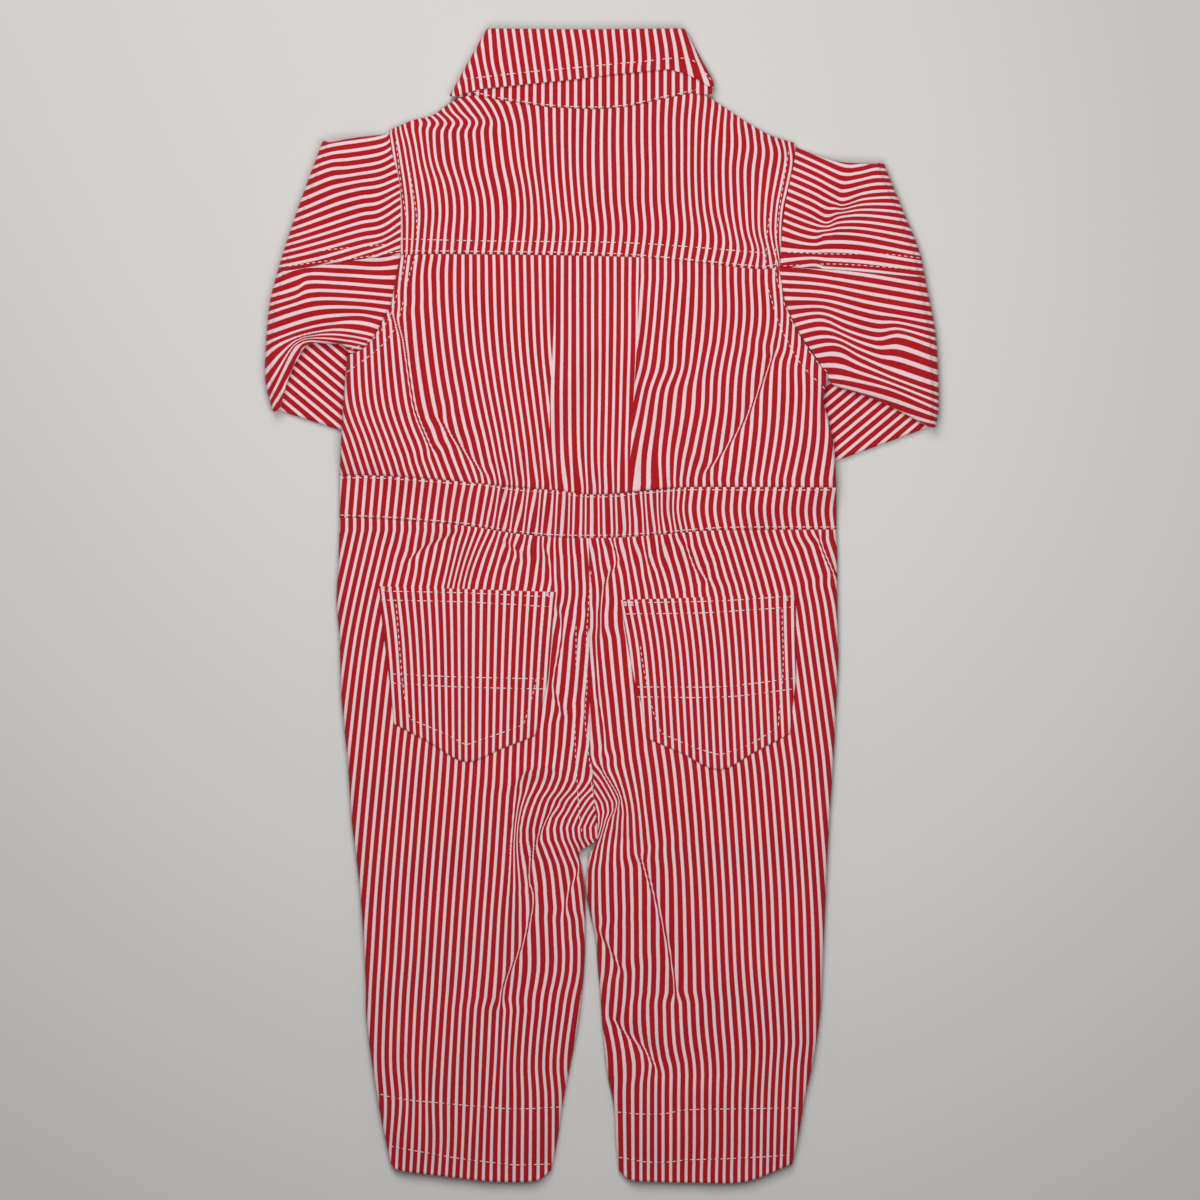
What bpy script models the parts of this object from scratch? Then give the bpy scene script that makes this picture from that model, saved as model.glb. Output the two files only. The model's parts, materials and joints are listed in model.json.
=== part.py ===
"""Baby's boiler suit in striped cotton twill, laid out flat and face down.

Its back is up (+Z) and its collar points to +Y. Left and right are the
wearer's. Both sleeves fold at the elbow and their forearms lie under the chest.
"""

import math

import bmesh
import bpy
import numpy as np

NAME = "boiler_suit"

# Driving dimensions, in metres.
UNIT = 0.00052  # one unit of the plan tables
MIDDLE = (601.5, 605.0)  # the plan point over the origin, (across, down)
WALL = 0.0010  # cloth with its turnings
SEAM_GAP = 0.0003  # between two pieces that are sewn together
FLOOR_LAYER = WALL / 2  # middle of a layer that lies on the floor
LAYER = 0.0013  # from one layer's middle to that of the next on it
PUFF = 0.0034  # how much higher the back stands inside its rims
RIM = 0.013  # width of the roll at a rim
FOREARM_LIFT = 0.0033  # how far a forearm lifts the chest over it
LIFT_RAMP = 0.020
LIFT_MARGIN = 0.007
TUBE = 0.0018  # between a flat sleeve's two layers, at its edges
ELBOW_RADIUS = 0.0023  # of the elbow's roll, midway between the layers
GATHER = 0.0007  # height of the waist's gathers
GATHERS = 14
GATHER_SPAN = (482, 690)  # where the waist's elastic runs
GATHER_REACH = 0.030  # how far the gathers run up and down from it
PLACKET_WIDTH = 0.024
COLLAR_LOW, COLLAR_TOP = 0.0005, 0.0065  # middles of the collar leaf's two sides

# Plan tables: every row is (across, down). They follow the pieces' edges.
YOKE_TOP = [
    (390, 132), (413, 122), (433, 117), (450, 105), (462, 98), (473, 96),
    (507, 102), (550, 108), (594, 110), (626, 108), (658, 101), (690, 94),
    (704, 96), (715, 103), (745, 123), (770, 137), (795, 145),
]
YOKE_SEAM = [
    (400.5, 255), (449, 254), (599, 256), (651, 259), (705, 264), (759, 269),
    (780, 267),
]
# Armholes, from the shoulder to the underarm; OVER ends at the yoke's seam.
LEFT_ARM_OVER = [(390, 132), (392, 152), (400, 185), (401, 228), (400.5, 255)]
LEFT_ARM_UNDER = [
    (400.5, 255), (396, 272), (390, 304), (382, 320), (374, 335), (364, 347),
    (353, 352.5), (347, 355),
]
RIGHT_ARM_OVER = [(795, 145), (794, 161), (790, 182), (784, 212), (781, 246), (780, 267)]
RIGHT_ARM_UNDER = [
    (780, 267), (782, 281), (786, 303), (793, 320), (803, 339), (819, 362),
    (825, 370), (829, 376),
]
LEFT_SIDE = [(347, 355), (346, 362), (343, 400), (341, 430), (339, 475.5)]
RIGHT_SIDE = [(829, 376), (828, 383), (824, 401), (830, 423), (835, 450), (837, 487.5)]
WAIST_TOP = [
    (339, 475.5), (376, 475.5), (422, 478.5), (459, 481.5), (515, 487.5),
    (556, 490.5), (589, 494.5), (620, 493.5), (684, 487.5), (732, 487), (837, 487.5),
]
WAIST_LOW = [
    (339, 517.5), (385, 519.5), (441, 523.5), (478, 527.5), (515, 533.5),
    (561, 537.5), (589, 538), (620, 537.5), (675, 533.5), (713, 530.5), (837, 529.5),
]
WAIST_LOW_LEFT, WAIST_LOW_RIGHT = WAIST_LOW[:7], WAIST_LOW[6:]
LEFT_OUTER = [
    (339, 517.5), (338, 560), (336, 600), (339, 640), (341, 700), (347, 760),
    (351, 820), (356, 860), (361, 910), (365, 980), (366, 1020), (374, 1080),
    (381, 1120), (390, 1163),
]
RIGHT_OUTER = [
    (837, 529.5), (838, 560), (838, 600), (839, 660), (837, 700), (834, 760),
    (830, 820), (827, 880), (824, 950), (821, 1010), (814, 1060), (805, 1100),
    (800, 1130), (793, 1164),
]
SEAT_SEAM = [(589, 538), (589.5, 650), (590, 747), (593, 773), (594, 798), (597, 838)]
LEFT_INSEAM = [
    (596, 835), (588, 846), (579, 853), (582, 868), (584.5, 889), (585, 939),
    (583.5, 972), (581, 1000), (577, 1030), (571, 1060), (563, 1100),
    (557, 1140), (551, 1170),
]
RIGHT_INSEAM = [
    (598.5, 835), (594, 847), (589, 856), (587, 873), (586, 889), (590, 911),
    (596, 939), (598, 964), (601, 1000), (603, 1030), (607, 1070), (614, 1105),
    (616, 1140), (619, 1170),
]
LEFT_HEM = [(390, 1163), (400, 1171), (456, 1178), (496, 1182), (535, 1181), (551, 1170)]
RIGHT_HEM = [(619, 1170), (631, 1180), (655, 1182), (696, 1183), (746, 1182), (793, 1164)]
LEFT_SHOULDER, RIGHT_SHOULDER = YOKE_TOP[:4], YOKE_TOP[13:]
# The seat pockets: hem, pointed foot, and sides from hem to foot.
LEFT_POCKET = {
    "hem": [(379, 586), (466, 589), (556, 592)],
    "foot": [(394, 724), (430, 743), (466, 762), (501, 749), (535, 736)],
    "outer": [(379, 586), (382, 620), (386, 653), (390, 686), (394, 724)],
    "inner": [(556, 592), (553, 620), (549, 670), (546, 689), (535, 736)],
}
RIGHT_POCKET = {
    "hem": [(621, 600), (709, 597), (796, 594)],
    "foot": [(646, 738), (683, 754), (719, 770), (755, 752), (790, 734)],
    "outer": [(621, 600), (626, 636), (634, 678), (641, 703), (646, 738)],
    "inner": [(796, 594), (796, 653), (796, 678), (793, 703), (790, 734)],
}
# The sleeves: edges of the upper arm, the elbow's fold, and the cuff.
LEFT_SLEEVE = {
    "top": [(390, 132), (356, 136), (322, 142)],
    "seam": [(400.5, 255), (350, 260), (288, 269)],
    "low": [
        (347, 355), (341, 347), (325, 346), (310, 346), (298, 360), (287, 382), (279, 410),
    ],
    "fold_over": [(322, 142), (298, 207), (283, 252), (278, 269)],
    "fold_under": [(278, 269), (270, 300), (266, 339), (265, 380), (272, 410)],
    "cuff": [(591, 321), (538, 391), (476, 471)],
    "arm": (LEFT_ARM_OVER, LEFT_ARM_UNDER),
}
RIGHT_SLEEVE = {
    "top": [(795, 145), (840, 160), (884, 163)],
    "seam": [(780, 267), (850, 270), (924, 276)],
    "low": [(829, 376), (836, 388), (872, 399), (901, 411), (932, 427)],
    "fold_over": [(884, 163), (901, 205), (919, 249), (925, 276)],
    "fold_under": [(925, 276), (935, 327), (938, 363), (939, 407), (936, 426)],
    "cuff": [(631, 335), (690, 406), (758, 487)],
    "arm": (RIGHT_ARM_OVER, RIGHT_ARM_UNDER),
}
# Collar: rows of (share across, down) for its edges on the back and the front,
# and the plan line of its two ends.
COLLAR_ENDS = {
    "down": (28, 60, 80, 97),
    "left": (487, 469, 458, 448.5),
    "right": (685, 702, 714, 718),
}
FOLD_BACK = ((0, 28), (0.48, 29), (1, 28))
FOLD_FRONT = ((0, 28), (0.25, 50), (0.5, 72), (0.75, 50), (1, 28))
LEAF_BACK = (
    (0, 97), (0.08, 90), (0.26, 85), (0.46, 80), (0.62, 75), (0.86, 70), (0.93, 75), (1, 87),
)
LEAF_FRONT = ((0, 97), (0.2, 100), (0.49, 124), (0.51, 124), (0.8, 98), (1, 87))
STAND_BACK = (
    (0, 96), (0.02, 97), (0.065, 95), (0.2, 101), (0.367, 107), (0.54, 109),
    (0.666, 107), (0.79, 100), (0.918, 93), (0.973, 95), (1, 94),
)
STAND_FRONT = (
    (0, 96), (0.02, 98), (0.18, 115), (0.355, 129), (0.517, 139), (0.68, 129),
    (0.855, 113), (0.98, 96), (1, 94),
)
# Front of the neck, where the chest meets the stand.
NECK_FRONT = [(462, 99), (502, 116), (547, 130), (588, 140), (630, 130), (674, 114), (706, 97)]

# Main folds: (height in mm, half width in mm, plan line).
BACK_FOLDS = [
    (1.2, 4.0, [(553, 262), (553, 320), (551, 402), (550, 475)]),
    (-1.2, 4.0, [(546, 275), (545, 350), (542, 440)]),
    (1.2, 4.0, [(640, 265), (637, 337), (633, 400), (629, 470)]),
    (-1.2, 4.0, [(649, 275), (646, 350), (640, 430)]),
    (-1.3, 5.0, [(391, 312), (404, 344), (413, 402), (420, 430), (435, 457)]),
    (-1.2, 4.5, [(433, 412), (444, 426), (456, 442), (473, 461), (490, 474)]),
    (-1.5, 5.0, [(774, 350), (762, 385), (737, 432), (703, 470)]),
    (0.8, 5.0, [(676, 373), (666, 395), (646, 426), (640, 455)]),
]
SEAT_FOLDS = [
    (-1.3, 5.0, [(498, 540), (507, 548), (517, 562)]),
    (-1.2, 5.0, [(463, 532), (437, 544), (413, 555), (402, 570)]),
    (-1.2, 5.0, [(684, 540), (692, 560), (704, 580)]),
    (1.4, 5.0, [(514, 781), (523, 774), (537, 770), (554, 772), (568, 778)]),
    (-1.6, 5.0, [(556, 804), (543, 826), (533, 850), (530, 912), (513, 965), (502, 1020)]),
    (1.4, 5.0, [(601, 765), (611, 780), (620, 798)]),
    (-1.4, 4.0, [(604, 840), (614, 838), (637, 838)]),
    (-1.6, 5.0, [(637, 850), (649, 880), (659, 911), (669, 949), (676, 985), (676, 1015)]),
    (-1.4, 5.0, [(607, 1013), (630, 1038), (643, 1048), (658, 1071)]),
    (1.0, 8.0, [(650, 1092), (690, 1090), (730, 1094)]),
]
SLEEVE_FOLDS = [
    (-1.2, 4.0, [(784, 215), (815, 225), (850, 212), (868, 180)]),
    (-1.2, 4.0, [(790, 318), (822, 312), (850, 330), (905, 340)]),
    (-1.2, 4.0, [(396, 262), (345, 276), (318, 270), (285, 282)]),
    (-1.1, 4.0, [(384, 322), (356, 316), (330, 330), (312, 338)]),
]

RED_CLOTH = (0.52, 0.09, 0.11, 1.0)
DEEP_CLOTH = (0.46, 0.07, 0.09, 1.0)


def to_plan(table):
    """A plan table's points in metres, seen from above."""
    return (np.array(table, float) - MIDDLE) * (UNIT, -UNIT)


def curve(table, shares, aside=0.0):
    """Points at shares of a smooth line's length, moved aside to its left."""
    knots = to_plan(table)
    ends = np.vstack([2 * knots[0] - knots[1], knots, 2 * knots[-1] - knots[-2]])
    t = np.linspace(0, 1, 9)[:-1, None]
    run = []
    for a, b, c, d in zip(ends, ends[1:], ends[2:], ends[3:]):
        run.append(
            0.5 * (2 * b + (c - a) * t + (2 * a - 5 * b + 4 * c - d) * t**2
                   + (3 * b - a - 3 * c + d) * t**3)
        )
    run = np.vstack(run + [knots[-1:]])
    length = np.concatenate([[0], np.cumsum(np.linalg.norm(np.diff(run, axis=0), axis=1))])
    at = np.asarray(shares, float) * length[-1]
    points = np.stack([np.interp(at, length, run[:, k]) for k in (0, 1)], -1)
    if aside:
        step = length[-1] * 1e-3
        ahead, behind = (
            np.stack([np.interp(at + s, length, run[:, k]) for k in (0, 1)], -1)
            for s in (step, -step)
        )
        way = ahead - behind
        way /= np.linalg.norm(way, axis=-1, keepdims=True)
        points = points + aside * np.stack([-way[:, 1], way[:, 0]], -1)
    return points


def coons(low, high, left, right, across, along):
    """Plan points of a surface that four sampled edges bound."""
    u, v = across[:, None, None], along[None, :, None]
    flat = (
        (1 - v) * low[:, None]
        + v * high[:, None]
        + (1 - u) * left[None]
        + u * right[None]
    )
    corners = (
        (1 - u) * (1 - v) * low[0]
        + u * (1 - v) * low[-1]
        + (1 - u) * v * high[0]
        + u * v * high[-1]
    )
    return flat - corners


def crowd(n, amount=0.55):
    """Shares from 0 to 1 that crowd towards both ends."""
    t = np.linspace(0, 1, n)
    return t - amount * np.sin(2 * math.pi * t) / (2 * math.pi)


def apart(points, line):
    """Each point's distance from a plan line."""
    a, b = line[:-1], line[1:]
    way = b - a
    rel = points[..., None, :] - a
    t = np.clip((rel * way).sum(-1) / np.maximum((way**2).sum(-1), 1e-12), 0, 1)
    return np.linalg.norm(rel - t[..., None] * way, axis=-1).min(-1)


def ease(t):
    t = np.clip(t, 0, 1)
    return t * t * (3 - 2 * t)


def roll(distance, width=RIM):
    """0 at a rim to 1 inside it, round like turned cloth."""
    t = np.clip(distance / width, 0, 1)
    return np.sqrt(1 - (1 - t) ** 2)


def outside(points, corners):
    """Distance outside a four-cornered plan region, negative inside it."""
    ring = to_plan(corners)
    worst = np.full(points.shape[:-1], -1.0)
    for a, b in zip(ring, np.roll(ring, -1, axis=0)):
        way = (b - a) / np.linalg.norm(b - a)
        worst = np.maximum(worst, (points - a) @ np.array([-way[1], way[0]]))
    return worst


def lift(points):
    """How far the forearms lift what lies over them."""
    left = [LEFT_SLEEVE["fold_over"][0], LEFT_SLEEVE["cuff"][0]]
    left += [LEFT_SLEEVE["cuff"][-1], LEFT_SLEEVE["fold_under"][-1]]
    right = [RIGHT_SLEEVE["fold_under"][-1], RIGHT_SLEEVE["cuff"][-1]]
    right += [RIGHT_SLEEVE["cuff"][0], RIGHT_SLEEVE["fold_over"][0]]
    near = np.minimum(outside(points, left), outside(points, right))
    return FOREARM_LIFT * (1 - ease((near - LIFT_MARGIN) / LIFT_RAMP))


def folds(points, table):
    """Height of the main folds, each fading out at its ends."""
    total = np.zeros(points.shape[:-1])
    for height, width, line in table:
        run = curve(line, np.linspace(0, 1, 16))
        ends = np.minimum(
            np.linalg.norm(points - run[0], axis=-1), np.linalg.norm(points - run[-1], axis=-1)
        )
        near = apart(points, run)
        fade = 0.4 + 0.6 * ease(ends / 0.012)
        total += height * 0.001 * np.exp(-((near / (width * 0.001)) ** 2)) * fade
    return total


def gathers(points):
    """The waves that the waist's elastic draws in the cloth."""
    left, right = ((edge - MIDDLE[0]) * UNIT for edge in GATHER_SPAN)
    share = (points[..., 0] - left) / (right - left)
    inside = ease(share * 8) * ease((1 - share) * 8)
    waist = curve([(339, 497), (515, 510), (589, 516), (684, 511), (837, 508)], np.linspace(0, 1, 30))
    near = np.maximum(apart(points, waist) - 0.010, 0)
    return GATHER * np.sin(2 * math.pi * GATHERS * share) * inside * (1 - ease(near / GATHER_REACH))


SHARES = np.linspace(0, 1, 40)
RIMS = [
    curve(table, SHARES)
    for table in (
        LEFT_SHOULDER, RIGHT_SHOULDER, LEFT_SIDE + LEFT_OUTER, RIGHT_SIDE + RIGHT_OUTER,
        LEFT_INSEAM[2:], RIGHT_INSEAM[2:],
    )
]


def front_level(points):
    """Middle of the front's cloth."""
    return FLOOR_LAYER + lift(points)


def back_level(points):
    """Middle of the back's cloth: low at its rims, full inside them."""
    rim = np.min([apart(points, line) for line in RIMS], axis=0)
    body = roll(rim)
    hem = ease((points[..., 1] + 0.300) / 0.030)
    shape = folds(points, BACK_FOLDS + SEAT_FOLDS) + gathers(points)
    return front_level(points) + LAYER + (PUFF * (0.45 + 0.55 * hem) + shape) * body


def cloth(name, points, colour, collection):
    """One piece: a grid of cloth moved onto its points, and given its wall."""
    across, along = points.shape[:2]
    bm = bmesh.new()
    bmesh.ops.create_grid(bm, x_segments=across - 1, y_segments=along - 1, size=0.5)
    for v in bm.verts:
        i = round((v.co.x + 0.5) * (across - 1))
        j = round((v.co.y + 0.5) * (along - 1))
        v.co = points[i, j]
    mesh = bpy.data.meshes.new(name)
    bm.to_mesh(mesh)
    bm.free()
    mesh.shade_smooth()
    wall = bpy.data.materials.new(name)
    wall.use_nodes = True
    surface = wall.node_tree.nodes["Principled BSDF"]
    surface.inputs["Base Color"].default_value = colour
    surface.inputs["Roughness"].default_value = 0.85
    surface.inputs["Metallic"].default_value = 0.0
    mesh.materials.append(wall)
    piece = bpy.data.objects.new(name, mesh)
    collection.objects.link(piece)
    shell = piece.modifiers.new("Wall", "SOLIDIFY")
    shell.thickness = WALL
    shell.offset = 0.0
    return piece


def flip(table):
    """The same line, run the other way."""
    return table[::-1]


def meet(line, start, end, shares):
    """A sampled line slid so that it runs from start to end."""
    t = shares[:, None]
    return line + (1 - t) * (start - line[0]) + t * (end - line[-1])


def panel(low, high, left, right, across, along, level, aside=None, raised=0.0):
    """Points of a panel between four plan tables, at a level."""
    aside = aside or {}
    tables = {"low": low, "high": high, "left": left, "right": right}
    signs = {"low": 1, "high": -1, "left": -1, "right": 1}
    shares = {"low": across, "high": across, "left": along, "right": along}
    raw, edge = {}, {}
    for side, table in tables.items():
        raw[side] = curve(table, shares[side])
        by = aside.get(side, SEAM_GAP / 2)
        edge[side] = curve(table, shares[side], signs[side] * by)
    for row, at in (("low", 0), ("high", -1)):
        corners = [
            edge[row][k] + edge[side][at] - raw[side][at]
            for side, k in (("left", 0), ("right", -1))
        ]
        edge[row] = meet(edge[row], *corners, across)
    for side, k in (("left", 0), ("right", -1)):
        edge[side] = meet(edge[side], edge["low"][k], edge["high"][k], along)
    plan = coons(edge["low"], edge["high"], edge["left"], edge["right"], across, along)
    return np.concatenate([plan, (level(plan) + raised)[..., None]], -1)


def arm(sleeve, mirrored, over, n_arm, n_roll, n_fore, n_side):
    """Points of half a sleeve: upper arm, roll of the elbow, and forearm.

    Its cloth starts at the back seam, goes out over the sleeve's edge and
    comes back to the seam below, so each half is an open channel.
    """
    way = (-1 if mirrored else 1) * (1 if over else -1)
    side = crowd(n_side, 0.3)  # from the sleeve's edge to its back seam
    rows = np.linspace(0, 1, n_arm)
    hole = sleeve["arm"][0] if over else sleeve["arm"][1][::-1]
    fold = sleeve["fold_over"] if over else sleeve["fold_under"][::-1]
    cuff = sleeve["cuff"] if over else sleeve["cuff"][::-1]
    elbow_inset = WALL / 2 + ELBOW_RADIUS + TUBE / 2
    edge_inset = WALL / 2 + TUBE / 2
    bend = curve(fold, side, way * elbow_inset)
    cuff_line = curve(cuff, side * 0.5)
    for line in (bend, cuff_line):
        back = line[-2] - line[-1]
        line[-1] += back / np.linalg.norm(back) * SEAM_GAP / 2
    first = 1.7 * edge_inset / np.linalg.norm(np.diff(to_plan(hole), axis=0), axis=1).sum()
    hole_line = curve(hole, first + side * (1 - first), -way * (SEAM_GAP + 0.0002))
    back = hole_line[-2] - hole_line[-1]
    hole_line[-1] += back / np.linalg.norm(back) * SEAM_GAP / 2
    edge_line = curve(sleeve["top" if over else "low"], rows, way * edge_inset)
    edge_line = meet(edge_line, hole_line[0], bend[0], rows)
    seam = curve(sleeve["seam"], rows, -way * SEAM_GAP / 2)
    seam = meet(seam, hole_line[-1], bend[-1], rows)
    upper = coons(hole_line, bend, edge_line, seam, side, rows)

    # Heights of the upper arm's two layers.
    both = sleeve["fold_over"] + sleeve["fold_under"][1:]
    fold_line = curve(both, SHARES)
    edges = [fold_line, curve(sleeve["top"], SHARES), curve(sleeve["low"], SHARES)]
    rim = np.min([apart(upper, line) for line in edges], axis=0) - edge_inset
    near_elbow = 1 - ease((apart(upper, fold_line) - elbow_inset) / 0.025)
    at_elbow = FLOOR_LAYER + 2 * ELBOW_RADIUS
    under = front_level(upper)
    lower = under + (at_elbow - under) * near_elbow
    full = roll(np.maximum(rim, 0))
    height = TUBE + (LAYER + PUFF - TUBE + folds(upper, SLEEVE_FOLDS)) * full

    out = fold_normals(bend, cuff_line)
    middle = FLOOR_LAYER + TUBE / 2
    outward = upper[0] - upper[1]
    outward /= np.linalg.norm(outward, axis=-1, keepdims=True)
    ring = [(k, 1.0, 0.0) for k in range(n_side - 1, -1, -1)]
    ring += [(0, math.cos(a), math.sin(a)) for a in (math.pi * s for s in (0.25, 0.5, 0.75))]
    ring += [(k, -1.0, 0.0) for k in range(n_side)]
    points = []
    for k, layer, push in ring:
        column = []
        for r in range(n_arm):
            plan = upper[k, r] + outward[r] * push * TUBE / 2
            column.append((*plan, lower[k, r] + height[k, r] * (1 + layer) / 2))
        aside = outward[-1] * push * TUBE / 2
        for r in range(1, n_roll):
            angle = math.pi * r / n_roll
            radius = ELBOW_RADIUS + layer * TUBE / 2
            plan = bend[k] + out[k] * radius * math.sin(angle) + aside
            column.append((*plan, middle + ELBOW_RADIUS + radius * math.cos(angle)))
        for t in np.linspace(0, 1, n_fore):
            plan = bend[k] * (1 - t) + cuff_line[k] * t + aside
            column.append((*plan, middle - layer * TUBE / 2))
        points.append(column)
    return np.array(points)


def fold_normals(bend, inner):
    """Unit plan directions across the elbow's fold, away from the forearm."""
    along = np.gradient(bend, axis=0)
    along /= np.linalg.norm(along, axis=-1, keepdims=True)
    out = np.stack([-along[:, 1], along[:, 0]], -1)
    return out * np.sign((out * (bend - inner)).sum(-1, keepdims=True))


def collar(lines, levels, turned, rows, n_back, n_front, inward=0.0):
    """Points of a collar piece that runs round the neck from the centre front.

    lines holds its (top, low) rows on the back and the front, levels its
    height there, and turned its height at the fold line. A row is (share of
    the depth, metres further down, share of the turn that is done).
    """
    ends = {
        side: to_plan(np.stack([COLLAR_ENDS[side], COLLAR_ENDS["down"]], -1))
        for side in ("left", "right")
    }
    inset = WALL / 2 + (COLLAR_TOP - COLLAR_LOW) / 2 + inward
    ring = [("front", s, 0.0) for s in np.linspace(0.485, 0, n_front)]
    ring += [("back", 0.0, -a) for a in (150, 120, 90, 60, 30)]
    ring += [("back", s, 0.0) for s in np.linspace(0, 1, n_back)]
    ring += [("back", 1.0, a) for a in (30, 60, 90, 120, 150)]
    ring += [("front", s, 0.0) for s in np.linspace(1, 0.515, n_front)]
    points = []
    for side, share, angle in ring:
        column = []
        for depth, more, done in rows:
            down = [np.interp(share, *zip(*table)) for table in lines[side]]
            y = (MIDDLE[1] - (down[0] + (down[1] - down[0]) * depth)) * UNIT - more
            z = {k: turned[k] + (levels[k] - turned[k]) * done for k in levels}
            left, right = (
                np.interp(-y, -ends[k][:, 1], ends[k][:, 0]) + sign * inset
                for k, sign in (("left", 1), ("right", -1))
            )
            radius = (z["back"] - z["front"]) / 2
            x = left + (right - left) * share + radius * math.sin(math.radians(angle))
            height = z[side]
            if angle:
                height = (z["back"] + z["front"]) / 2 + radius * math.cos(math.radians(angle))
            column.append((x, y, height))
        points.append(column)
    return np.array(points)


def main():
    for old in list(bpy.data.objects):
        bpy.data.objects.remove(old, do_unlink=True)
    suit = bpy.data.collections.new(NAME)
    bpy.context.scene.collection.children.link(suit)

    def add(name, points, colour=RED_CLOTH):
        cloth(name, points, colour, suit)

    rim = {"left": 0.0005, "right": 0.0005}
    # The back.
    across = crowd(21, 0.1)
    add("back_yoke", panel(
        YOKE_SEAM, YOKE_TOP, flip(LEFT_ARM_OVER), flip(RIGHT_ARM_OVER),
        across, np.linspace(0, 1, 9), back_level))
    across = crowd(31, 0.2)
    along = np.concatenate([np.linspace(0, 0.44, 5), np.linspace(0.5, 1, 13)])
    add("back_body", panel(
        WAIST_TOP, YOKE_SEAM,
        flip(LEFT_SIDE) + flip(LEFT_ARM_UNDER)[1:], flip(RIGHT_SIDE) + flip(RIGHT_ARM_UNDER)[1:],
        across, along, back_level, rim))
    across = np.concatenate([
        [0, 0.006, 0.02, 0.05], np.linspace(0.11, 0.26, 4), np.linspace(0.285, 0.71, 56),
        np.linspace(0.75, 0.9, 4), [0.95, 0.98, 0.994, 1],
    ])
    add("waistband_back", panel(
        WAIST_LOW, WAIST_TOP, [(339, 517.5), (339, 475.5)], [(837, 529.5), (837, 487.5)],
        across, np.linspace(0, 1, 3), back_level, rim), DEEP_CLOTH)
    across, along = crowd(17, 0.3), np.linspace(0, 1, 27)
    inseam = {"left": 0.0005, "right": 0.0002}
    add("seat_left", panel(
        LEFT_HEM, WAIST_LOW_LEFT, flip(LEFT_OUTER),
        flip(LEFT_INSEAM) + flip(SEAT_SEAM)[1:], across, along, back_level, inseam))
    inseam = {"right": 0.0005, "left": 0.0002}
    add("seat_right", panel(
        RIGHT_HEM, WAIST_LOW_RIGHT, flip(RIGHT_INSEAM) + flip(SEAT_SEAM)[1:],
        flip(RIGHT_OUTER), across, along, back_level, inseam))
    for name, pocket in (("pocket_left", LEFT_POCKET), ("pocket_right", RIGHT_POCKET)):
        add(name, panel(
            pocket["foot"], pocket["hem"], flip(pocket["outer"]), flip(pocket["inner"]),
            np.linspace(0, 1, 9), np.linspace(0, 1, 9), back_level,
            raised=LAYER + SEAM_GAP / 2), DEEP_CLOTH)
    # The front, which lies under it.
    middle = 588.0
    half = PLACKET_WIDTH / 2 / UNIT
    neck_left, neck_right = NECK_FRONT[:4], NECK_FRONT[3:]
    rim = {"left": 0.0016}
    along = np.linspace(0, 1, 16)
    top = LEFT_SHOULDER + neck_left[:-1] + [(middle - half, 140)]
    low = [(339, 475.5), (460, 481), (middle - half, 486)]
    add("chest_left", panel(
        low, top, flip(LEFT_SIDE) + flip(LEFT_ARM_UNDER)[1:] + flip(LEFT_ARM_OVER)[1:],
        [(middle - half, 486), (middle - half, 140)],
        crowd(11, 0.2), along, front_level, rim))
    rim = {"right": 0.0016}
    top = [(middle + half, 140)] + neck_right[1:] + RIGHT_SHOULDER
    low = [(middle + half, 486), (720, 486), (837, 487.5)]
    add("chest_right", panel(
        low, top, [(middle + half, 486), (middle + half, 140)],
        flip(RIGHT_SIDE) + flip(RIGHT_ARM_UNDER)[1:] + flip(RIGHT_ARM_OVER)[1:],
        crowd(11, 0.2), along, front_level, rim))
    fly, crotch = 822, 838
    add("placket", panel(
        [(middle - half, fly), (middle + half, fly)], [(middle - half, 140), (middle + half, 140)],
        [(middle - half, fly), (middle - half, 140)], [(middle + half, fly), (middle + half, 140)],
        np.linspace(0, 1, 2), np.linspace(0, 1, 27), front_level), DEEP_CLOTH)
    add("waistband_front_left", panel(
        [(339, 522), (middle - half, 528)], [(339, 475.5), (460, 481), (middle - half, 486)],
        [(339, 522), (339, 475.5)], [(middle - half, 528), (middle - half, 486)],
        crowd(6, 0.2), np.linspace(0, 1, 3), front_level, {"left": 0.0016}), DEEP_CLOTH)
    add("waistband_front_right", panel(
        [(middle + half, 528), (837, 528)], [(middle + half, 486), (720, 486), (837, 487.5)],
        [(middle + half, 528), (middle + half, 486)], [(837, 528), (837, 487.5)],
        crowd(6, 0.2), np.linspace(0, 1, 3), front_level, {"right": 0.0016}), DEEP_CLOTH)
    rise_left = [(middle - half, crotch), (middle - half, 700), (middle - half, 528)]
    rise_right = [(middle + half, crotch), (middle + half, 700), (middle + half, 528)]
    add("front_leg_left", panel(
        LEFT_HEM, [(339, 522), (middle - half, 528)], flip(LEFT_OUTER[1:]) + [(339, 522)],
        flip(LEFT_INSEAM[2:]) + rise_left, crowd(6, 0.2), np.linspace(0, 1, 21), front_level,
        {"left": 0.0016, "low": 0.0006, "right": 0.0004}))
    add("front_leg_right", panel(
        RIGHT_HEM, [(middle + half, 528), (837, 528)], flip(RIGHT_INSEAM[2:]) + rise_right,
        flip(RIGHT_OUTER[1:]) + [(837, 528)], crowd(6, 0.2), np.linspace(0, 1, 21),
        front_level, {"right": 0.0016, "low": 0.0006, "left": 0.0004}))
    # The sleeves.
    for side, sleeve in (("left", LEFT_SLEEVE), ("right", RIGHT_SLEEVE)):
        for part, over in (("over", True), ("under", False)):
            add(f"sleeve_{part}_{side}", arm(sleeve, side == "right", over, 7, 5, 4, 8))
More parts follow.
